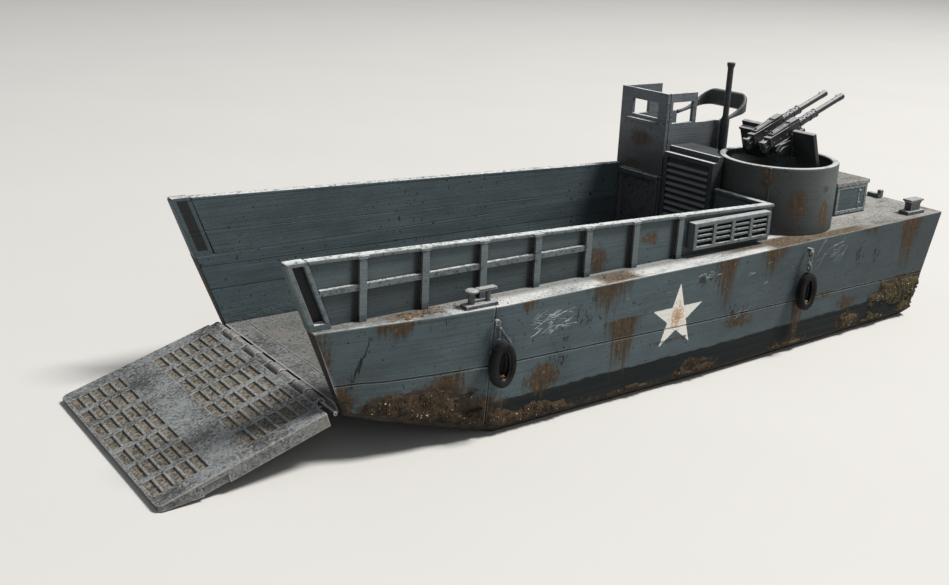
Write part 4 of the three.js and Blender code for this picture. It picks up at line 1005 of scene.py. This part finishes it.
def gunParts(y, inward):
    g = gunLook
    h = g["axis"]
    parts = [slab(outline, y - half, y + half, width, n) for outline, half, width, n in g["slabs"]]
    for ridge in g["ridges"]:
        parts.append(slab(g["ridge"], y + ridge - 0.14, y + ridge + 0.14, 0.06, 1))
    for a in g["bolts"]:
        made = bmesh.new()
        lathe(made, (a, y + inward * 1.2, 2.0), abeam * inward, [(0.0, 0.28), (0.16, 0.28), (0.22, 0.2)], 8)
        lathe(made, (a, y - inward * 1.2, 2.0), abeam * -inward, [(0.0, 0.28), (0.1, 0.28), (0.13, 0.2)], 8)
        parts.append(made)
    rods = bmesh.new()
    lathe(rods, (-12.4, y, 2.7), forward, [(0.0, 0.55), (0.2, 0.75), (2.3, 0.75)], 12)
    for grip in (-0.85, 0.85):
        lathe(rods, (-12.65, y + grip, 0.9), upward, [(0.0, 0.2), (0.1, 0.3), (2.2, 0.3)], 10)
    cocking = [(0.0, 0.24), (0.75, 0.24), (0.8, 0.36), (1.1, 0.36)]
    lathe(rods, (-5.2, y + inward * 1.2, 2.9), abeam * inward, cocking, 10)
    lathe(rods, (-0.75, y - 1.3, 4.55), abeam, [(0.0, 0.26), (2.6, 0.26)], 10)
    lathe(rods, (3.6, y, h), forward, [(0.0, 1.42), (0.1, 1.5), (1.1, 1.5), (1.4, 1.3)], 20)
    # the sleeve, with staggered holes
    low, high, radius = g["sleeve"]
    count, around = g["holeRings"], g["around"]
    profile = [(low + (high - low) * i / count, radius) for i in range(count + 1)]
    faces = lathe(rods, (0.0, y, h), forward, profile, around)
    holes = []
    for i, face in enumerate(faces):
        ring, place = divmod(i, around)
        if ring % 2 == 1 and (place + ring // 2) % 2 == 0:
            holes.append(face)
    bmesh.ops.inset_individual(rods, faces=holes, thickness=0.07 * mm, depth=0.0)
    for f in holes:
        push = -f.normal.copy() * 0.3 * mm
        for v in f.verts:
            v.co += push
    for a in (low + 0.1, (low + high) / 2 + 0.3, high - 0.4):
        lathe(rods, (a, y, h), forward, [(0.0, 1.30), (0.06, 1.46), (0.44, 1.46), (0.5, 1.30)], 20)
    m0, m1, wide = g["muzzle"]
    thin = g["barrel"]
    barrel = [(high - 0.3, 1.2), (high + 0.3, thin + 0.12), (high + 0.8, thin), (m0, thin), (m0 + 0.15, wide)]
    barrel += [(m1 - 0.12, wide), (m1, wide - 0.1), (m1, 0.56), (m1 - 1.4, 0.5)]
    lathe(rods, (0.0, y, h), forward, barrel, 20)
    lathe(rods, (m1 - 3.0, y, h + 0.9), upward, [(0.0, 0.16), (0.75, 0.12)], 8)
    return [*parts, rods]


for side, sign in sides:
    node = "gun_" + side
    whole = aimed(gather(gunParts(sign * gunLook["row"], -sign)))
    addPiece(node + "_built", whole, "gun", bodyOf[node], [node])

cheekLook = {
    # outline of (x, z), and how far out the plate starts and ends
    "plates": [
        ([(60.6, 58.6), (71.6, 58.6), (72.6, 60.6), (70.8, 62.6), (66.4, 63.6), (61.8, 63.6)], 5.05, 5.75),
        ([(67.4, 59.4), (71.2, 59.4), (71.6, 60.4), (70.2, 61.6), (67.4, 62.2)], 5.6, 6.1),
    ],
    "wheel": (63.9, 5.7, 60.6),
    "rims": [
        ([(0.0, 1.5), (0.1, 1.7), (0.5, 1.7), (0.6, 1.5)], 20),
        ([(0.0, 0.5), (0.9, 0.5), (1.0, 0.35)], 12),
    ],
}


def mountCheeks():
    # side frames under the guns, outside their swing, with a stepped seat and a hand wheel
    parts = []
    x, out, z = cheekLook["wheel"]
    middle = gunLook["pivot"][1]
    for sign in (-1.0, 1.0):
        for outline, near, far in cheekLook["plates"]:
            parts.append(slab(outline, *sorted((middle + sign * near, middle + sign * far))))
        wheel = bmesh.new()
        for profile, around in cheekLook["rims"]:
            lathe(wheel, (x, middle + sign * out, z), abeam * sign, profile, around)
        parts.append(wheel)
    return gather(parts)


addPiece("gun_mount_cheeks", mountCheeks(), "gun", bodyOf["gun_carriage"])

tyreLook = {
    # section as (depth from the outer edge, distance from the hull)
    "section": [
        (0.30, 0.20), (0.02, 0.45), (0.0, 0.82), (0.20, 0.90),
        (0.0, 0.98), (0.0, 1.68), (0.20, 1.76), (0.0, 1.84),
        (0.02, 2.15), (0.28, 2.48), (0.80, 2.68), (1.40, 2.66), (1.95, 2.42), (2.12, 2.05), (1.60, 1.92),
        (0.95, 1.70), (0.85, 1.00), (1.60, 0.75), (2.12, 0.62), (1.95, 0.25), (1.40, 0.04), (0.80, 0.02),
    ],
    "around": 56, "lug": 0.07, "tread": 0.1,    # lugs cut the section where it is shallower than tread
    # a dark disc behind the hole, painted shade filling it: its start from the hull, and its section
    "backingOut": 0.1, "backing": [(0.0, 1.0), (0.35, 1.0), (0.45, 0.9)], "hole": 1.9, "cakes": 26,
}


def onOval(middle, halves, angle, deep):
    # x and z on an oval, some depth in from its edge
    return middle[0] + (halves[0] - deep) * math.cos(angle), middle[1] + (halves[1] - deep) * math.sin(angle)


def buildFender(end, side, sign):
    t = tyreLook
    node = f"fender_{end}_{side}"
    low, high = (backTo(corner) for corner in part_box(node))
    middle = ((low.x + high.x) / 2, (low.z + high.z) / 2)
    halves = ((high.x - low.x) / 2, (high.z - low.z) / 2)
    near = min(abs(low.y), abs(high.y))
    bm = bmesh.new()
    rings = []
    for i in range(t["around"]):
        angle = 2 * math.pi * i / t["around"]
        ring = []
        for deep, out in t["section"]:
            cut = t["lug"] if i % 2 and deep < t["tread"] else 0.0
            x, z = onOval(middle, halves, angle, deep + cut)
            ring.append(bm.verts.new(spot(x, sign * (near + out), z)))
        rings.append(ring)
    skin(bm, rings, True)
    # a dark rubber disc behind the hole, standing in for the shade inside it
    start = (middle[0], sign * (near + t["backingOut"]), middle[1])
    lathe(bm, start, abeam * sign, t["backing"], 40, False, (halves[1] - t["hole"], halves[0] - t["hole"]))
    addPiece(node + "_built", bm, "rubber", "craft", [node], 50.0)
    caked = bmesh.new()
    pick = random.Random(int(low.x))
    for _ in range(t["cakes"]):
        angle = math.radians(pick.uniform(245, 300))
        x, z = onOval(middle, halves, angle, pick.uniform(1.7, 3.0))
        y = sign * (near + pick.uniform(0.8, 1.9))
        r = pick.uniform(0.25, 0.6)
        lump(caked, spot(x, y, z), (r, r * 0.8, r * 0.7), pick.uniform(0, 90), 2)
    addPiece(f"fender_mud_{end}_{side}", caked, "leaf", sharp=70.0)


for end in ("fore", "aft"):
    for side, sign in sides:
        buildFender(end, side, sign)
print("guns and fenders built")

addPiece("tub_weld", tubWelds(), "tub")

trimLook = {
    # x0, x1, z0, z1 of the strips on the hatch box
    "hatch": [
        (25.2, 40.9, 45.1, 46.2), (25.2, 40.9, 36.9, 37.9),
        (39.9, 40.9, 37.9, 45.1), (25.2, 26.2, 37.9, 45.1),
        (28.9, 29.6, 37.9, 45.1),
    ],
    "hatchY": (25.15, 25.38),
    "latchX": (28.0, 29.4), "latches": (39.4, 43.4), "latchTall": 0.7, "latchY": 25.5,
    # x0, x1, y0, y1, z0, z1, edge radius: ledges under the console's windows, a frame on its lower panel
    "console": [
        (86.3, 87.3, -29.4, -15.2, 63.2, 64.1, 0.2), (85.8, 86.9, -31.2, -12.4, 44.6, 46.3, 0.4),
        (85.8, 86.7, -14.0, -12.4, 14.4, 44.8, 0.3), (85.8, 86.5, -31.2, -29.9, 14.4, 44.8, 0.2),
        (85.8, 86.5, -30.0, -13.9, 20.0, 21.2, 0.2),
    ],
}


def hatchFrames():
    t = trimLook
    near, far = t["hatchY"]
    strips = [slab(oblong(*row), near, far, 0.08, 2, near) for row in t["hatch"]]
    latches = [oblong(*t["latchX"], z, z + t["latchTall"]) for z in t["latches"]]
    return strips + [slab(latch, near, t["latchY"], 0.1, 2, near) for latch in latches]


for side, sign in sides:
    addPiece("hatch_frames_" + side, gather(hatchFrames(), sign < 0), "works")
ledges = [
    slab(oblong(x0, x1, z0, z1), y0, y1, width, 3)
    for x0, x1, y0, y1, z0, z1, width in trimLook["console"]]
addPiece("console_trim", gather(ledges), "console")


def treeOf(*names):
    verts, faces = [], []
    for name in names:
        mesh = bpy.data.objects[name].data
        first = len(verts)
        verts += [v.co.copy() for v in mesh.vertices]
        faces += [[first + i for i in p.vertices] for p in mesh.polygons]
    return BVHTree.FromPolygons(verts, faces)


crustLook = {
    # x or y, z, half length, half height, strength
    "mud": [
        (216.0, 11.0, 18.0, 5.2, 1.25), (234.0, 12.5, 7.0, 4.5, 0.9), (188.0, 2.6, 26.0, 4.4, 1.3),
        (199.0, 5.5, 12.0, 4.0, 1.1), (150.0, 1.2, 24.0, 2.6, 1.0), (118.0, 3.0, 8.0, 3.0, 1.0),
        (222.0, 7.5, 12.0, 2.6, 0.9),
    ],
    "growth": [
        (16.0, 11.0, 18.0, 5.2, 1.3), (45.0, 4.4, 5.6, 3.2, 0.9), (8.0, 4.0, 9.0, 5.0, 0.9),
        (76.0, 1.6, 9.0, 2.4, 0.85), (30.0, 3.0, 8.0, 2.6, 0.6),
    ],
    "transom": [
        (0.0, 8.5, 42.0, 4.0, 0.85), (35.0, 10.5, 10.0, 6.0, 1.2), (-33.0, 9.0, 11.0, 5.0, 1.1),
        (4.0, 3.0, 16.0, 3.0, 0.8),
    ],
    "step": 0.6, "thick": 0.8, "dip": -0.2,     # dip sinks the rim into the hull
}


def coverAt(zones, first, z, seed):
    cover = max(s * (1.0 - math.hypot((first - a) / la, (z - c) / lz)) for a, c, la, lz, s in zones)
    if cover < -0.45:
        return cover
    return cover + 0.6 * noise.fractal(Vector((first * 0.16, z * 0.34, seed)), 0.7, 2.1, 5) - 0.12


def growCrust(tree, zones, origin, along, direction, length, tall, seed):
    # a lumpy skin where the zones are; returns it and the places for grit
    bm, chips = bmesh.new(), []
    step, dip = crustLook["step"], crustLook["dip"]
    grid, bumps, made = {}, {}, {}
    for i in range(int(length / step) + 1):
        for k in range(int(tall / step) + 1):
            place = Vector(origin) + along * (i * step) + upward * (0.12 + k * step)
            first = place.x if abs(along.x) > 0.5 else place.y
            cover = coverAt(zones, first, place.z, seed)
            if cover < -0.16:
                continue
            hit, normal, _, _ = tree.ray_cast(spot(*place), direction)
            if hit is None or -normal.dot(direction) < 0.8:
                continue
            fine = noise.noise(Vector((first * 1.1, place.z * 1.1, seed + 5.0)))
            thick = crustLook["thick"] * (0.3 + 0.7 * min(1.0, cover * 1.9)) * (0.8 + 0.65 * fine)
            grid[i, k] = hit
            bumps[i, k] = thick if cover > 0.0 else dip
    for (i, k), hit in grid.items():
        bump = bumps[i, k]
        if any((i + a, k + b) not in grid for a, b in ((1, 0), (-1, 0), (0, 1), (0, -1))):
            bump = dip
        made[i, k] = bm.verts.new(hit - direction * bump * mm)
        if bump > 0.3:
            chips.append(made[i, k].co.copy())
    for i, k in made:
        corners = [(i, k), (i + 1, k), (i + 1, k + 1), (i, k + 1)]
        if all(c in made for c in corners) and any(bumps[c] > 0 for c in corners):
            bm.faces.new([made[c] for c in corners])
    bmesh.ops.delete(bm, geom=[v for v in bm.verts if not v.link_faces], context="VERTS")
    return bm, chips


def pebbles(bm, places, count, small, large, seed, flat=0.6):
    pick = random.Random(seed)
    for _ in range(min(count, len(places))):
        where = pick.choice(places)
        r = small + (large - small) * pick.random() ** 2
        turn = Matrix.Rotation(
            pick.uniform(0, math.pi), 3, (pick.random(), pick.random(), pick.random() + 0.1))
        lump(bm, where, (r, r * pick.uniform(0.5, 0.9), r * flat), pick.uniform(0, 90), 1, turn)


def addCrust(name, bm, finish):
    # nothing below the table or behind the stern
    for v in bm.verts:
        v.co.z = max(v.co.z, 0.03 * mm)
        v.co.x = max(v.co.x, cadBox[0].x + 0.1 * mm)
    addPiece(name, bm, finish, sharp=70.0)


hullTree = treeOf("hull_casting")
for side, sign, seed in (("port", 1.0, 3.0), ("starboard", -1.0, 17.0)):
    for name, x0, length, finish in (("mud", 92.0, 152.0, "soil"), ("growth", 0.2, 92.0, "growth")):
        start = (x0, sign * 60.0, 0.0)
        bm, chips = growCrust(hullTree, crustLook[name], start, forward, abeam * -sign, length, 24.0, seed)
        pebbles(bm, chips, 220, 0.25, 0.75, int(seed))
        addCrust(f"{name}_{side}", bm, finish)
        grit = bmesh.new()
        pebbles(grit, chips, 170, 0.10, 0.46, int(seed) + 1, 0.35)
        addCrust(f"{name}_grit_{side}", grit, "grit")
bm, chips = growCrust(hullTree, crustLook["transom"], (-20.0, -41.5, 0.0), abeam, forward, 83.0, 22.0, 29.0)
pebbles(bm, chips, 200, 0.25, 0.7, 31)
addCrust("growth_transom", bm, "growth")
print("mud and growth built")

strokeRows = [
    # x, z, half length, half height, count, slopes in degrees, longest
    (174.0, 28.6, 6.5, 2.6, 54, (-8, -20, -34, 10), 4.6), (60.0, 31.0, 7.0, 2.6, 16, (-14, -22, 4, -55), 8.0),
    (118.0, 32.4, 2.6, 1.2, 7, (-30, 12), 3.0), (98.0, 30.0, 2.0, 0.6, 3, (-3, 6), 3.0),
    (101.5, 17.5, 4.0, 2.0, 5, (-35, -50), 4.0), (120.0, 30.0, 50.0, 5.0, 12, (-4, 6, -20), 2.0),
]


def drawStroke(bm, tree, pick, row, outward):
    # a thin tapered sliver of bare metal
    x, z, halfLong, halfTall, _, slopes, longest = row
    cx, cz = x + pick.uniform(-1, 1) * halfLong, z + pick.uniform(-1, 1) * halfTall
    angle = math.radians(pick.choice(slopes) + pick.uniform(-7, 7))
    long, bend, half = longest * pick.uniform(0.3, 1.0), pick.uniform(-0.06, 0.06), pick.uniform(0.035, 0.10)
    ux, uz = math.cos(angle), math.sin(angle)
    last = None
    for i in range(8):
        t = i / 7 - 0.5
        sag = bend * long * (1.0 - 4.0 * t * t)
        px, pz = cx + ux * long * t - uz * sag, cz + uz * long * t + ux * sag
        hit, _, _, _ = tree.ray_cast(spot(px, outward.y * 60.0, pz), -outward)
        if hit is None:
            last = None
            continue
        wide = half * math.sqrt(max(0.0, 1.0 - 4.0 * t * t)) * pick.uniform(0.6, 1.2) + 0.008
        aside = Vector((-uz, 0.0, ux)) * wide * mm
        ridge = hit + outward * 0.035 * mm
        pair = (bm.verts.new(hit + aside), bm.verts.new(hit - aside), bm.verts.new(ridge))
        if last:
            bm.faces.new((last[0], pair[0], pair[2], last[2]))
            bm.faces.new((last[2], pair[2], pair[1], last[1]))
        last = pair


for side, sign, seed in (("port", 1.0, 4), ("starboard", -1.0, 9)):
    pick, bm = random.Random(seed), bmesh.new()
    for row in strokeRows:
        for _ in range(row[4]):
            drawStroke(bm, hullTree, pick, row, abeam * sign)
    bmesh.ops.delete(bm, geom=[v for v in bm.verts if not v.link_faces], context="VERTS")
    addPiece("scratches_" + side, bm, "scratch")

strewn = [
    # x0, x1, y0, y1, highest z, count, smallest, largest, finish
    (205.0, 221.0, 34.2, 38.5, 39.0, 170, 0.25, 0.75, "leaf"),
    (145.0, 157.0, 34.5, 41.5, 39.0, 150, 0.15, 0.5, "leaf"),
    (70.0, 86.0, 34.0, 41.5, 39.0, 150, 0.15, 0.5, "leaf"),
    (160.0, 236.0, 33.4, 34.1, 45.2, 150, 0.12, 0.34, "leaf"),
    (90.0, 238.0, 34.3, 36.0, 39.0, 260, 0.10, 0.36, "leaf"),
    (188.0, 204.0, 34.5, 41.0, 39.0, 70, 0.12, 0.4, "grit"),
    (90.0, 238.0, 34.5, 41.5, 39.0, 240, 0.08, 0.24, "grit"),
    (2.0, 60.0, -40.0, 40.0, 39.0, 260, 0.08, 0.30, "grit"),
    (3.0, 46.0, 26.0, 40.0, 39.0, 70, 0.12, 0.4, "leaf"),
    (90.0, 222.0, -30.5, 30.5, 17.0, 420, 0.12, 0.45, "grit"),
    (90.0, 222.0, -30.5, 30.5, 17.0, 160, 0.15, 0.5, "leaf"),
    (26.0, 40.0, -24.0, 24.0, 49.0, 90, 0.08, 0.22, "grit"),
]
strewn += [
    (x0, x1, -y1, -y0, high, count // 2, *rest)
    for x0, x1, y0, y1, high, count, *rest in strewn if y0 > 20]
rampStrewn = [
    (234.0, 276.5, -33.5, 33.5, 20.0, 900, 0.08, 0.30, "grit"),
    (234.0, 276.5, -33.5, 33.5, 20.0, 260, 0.12, 0.34, "leaf"),
]


def scatter(tree, rows, seed, prefix, body):
    # loose bits dropped on what lies below, by finish
    pick = random.Random(seed)
    made = {}
    for x0, x1, y0, y1, high, count, small, large, finish in rows:
        bm = made.setdefault(finish, bmesh.new())
        thin = 0.22 if finish == "leaf" else 0.6
        for _ in range(count):
            x, y = pick.uniform(x0, x1), pick.uniform(y0, y1)
            hit, normal, _, _ = tree.ray_cast(spot(x, y, high), -upward)
            if hit is None or normal.z < 0.7:
                continue
            r = small + (large - small) * pick.random() ** 1.6
            turn = (Matrix.Rotation(pick.uniform(0, math.pi), 3, "Z")
                    @ Matrix.Rotation(pick.uniform(-0.5, 0.5), 3, "X"))
            radii = (r, r * pick.uniform(0.35, 0.8), r * thin)
            lump(bm, hit + upward * (r * thin * 0.5 * mm), radii, pick.uniform(0, 90), 1, turn)
    for finish, bm in made.items():
        addPiece(prefix + finish, bm, finish, body, sharp=60.0)


ground = treeOf(
    "hull_casting", "coaming_port_built", "coaming_starboard_built", "well_floor_cast", "hatch_lid_cast")
scatter(ground, strewn, 5, "strewn_", "craft")
scatter(treeOf("ramp_cast"), rampStrewn, 8, "ramp_strewn_", bodyOf["ramp"])
print("loose bits strewn")

stageLook = {
    "floor": (0.60, 0.59, 0.57), "sky": (0.92, 0.96, 1.0), "skyLight": 0.22, "aim": (-0.02, 0.0, 0.03),
    # name, place in m, size in m, watts, colour
    "lamps": [
        ("keyLight", (-1.16, 0.84, 2.40), 0.80, 105.0, (1.0, 0.98, 0.95)),
        ("fillLight", (1.2, 2.1, 1.2), 1.6, 4.0, (0.93, 0.96, 1.0)),
    ],
}


def buildStage():
    bm = bmesh.new()
    for v in bmesh.ops.create_grid(bm, x_segments=8, y_segments=8, size=2.0)["verts"]:
        v.co.z = -0.02 * mm
    mesh = bpy.data.meshes.new("floor")
    bm.to_mesh(mesh)
    bm.free()
    f = Finish("paleFloor", 0.8, 0.3)
    tone = stageLook["floor"]
    mesh.materials.append(f.finish(f.grain(0.01, 2.0, 0.5).between(tone, tuple(c * 1.06 for c in tone))))
    floor = bpy.data.objects.new("floor", mesh)
    bpy.context.scene.collection.objects.link(floor)

    world = bpy.data.worlds.new("studio")
    bpy.context.scene.world = world
    world.use_nodes = True
    sky = world.node_tree.nodes["Background"]
    sky.inputs[0].default_value = (*stageLook["sky"], 1.0)
    sky.inputs[1].default_value = stageLook["skyLight"]
    for name, place, size, power, colour in stageLook["lamps"]:
        data = bpy.data.lights.new(name, "AREA")
        data.shape = "DISK"
        data.size = size
        data.energy = power
        data.color = colour
        lamp = bpy.data.objects.new(name, data)
        lamp.location = place
        lamp.rotation_mode = "QUATERNION"
        lamp.rotation_quaternion = (Vector(stageLook["aim"]) - Vector(place)).to_track_quat("-Z", "Y")
        bpy.context.scene.collection.objects.link(lamp)
    bpy.context.scene.view_settings.view_transform = "Standard"


cameraLook = {"place": (351.822, 247.222, 126.061), "turn": (1.247385, -0.041113, 2.518470), "focal": 42.715}


def buildCamera():
    data = bpy.data.cameras.new("photoCamera")
    data.sensor_width = 36.0
    data.lens = cameraLook["focal"]
    data.clip_start = 0.01
    data.clip_end = 50.0
    camera = bpy.data.objects.new("photoCamera", data)
    camera.location = spot(*cameraLook["place"])
    camera.rotation_mode = "XYZ"
    camera.rotation_euler = cameraLook["turn"]
    bpy.context.scene.collection.objects.link(camera)
    bpy.context.scene.camera = camera


buildStage()
buildCamera()
print("stage and camera set")
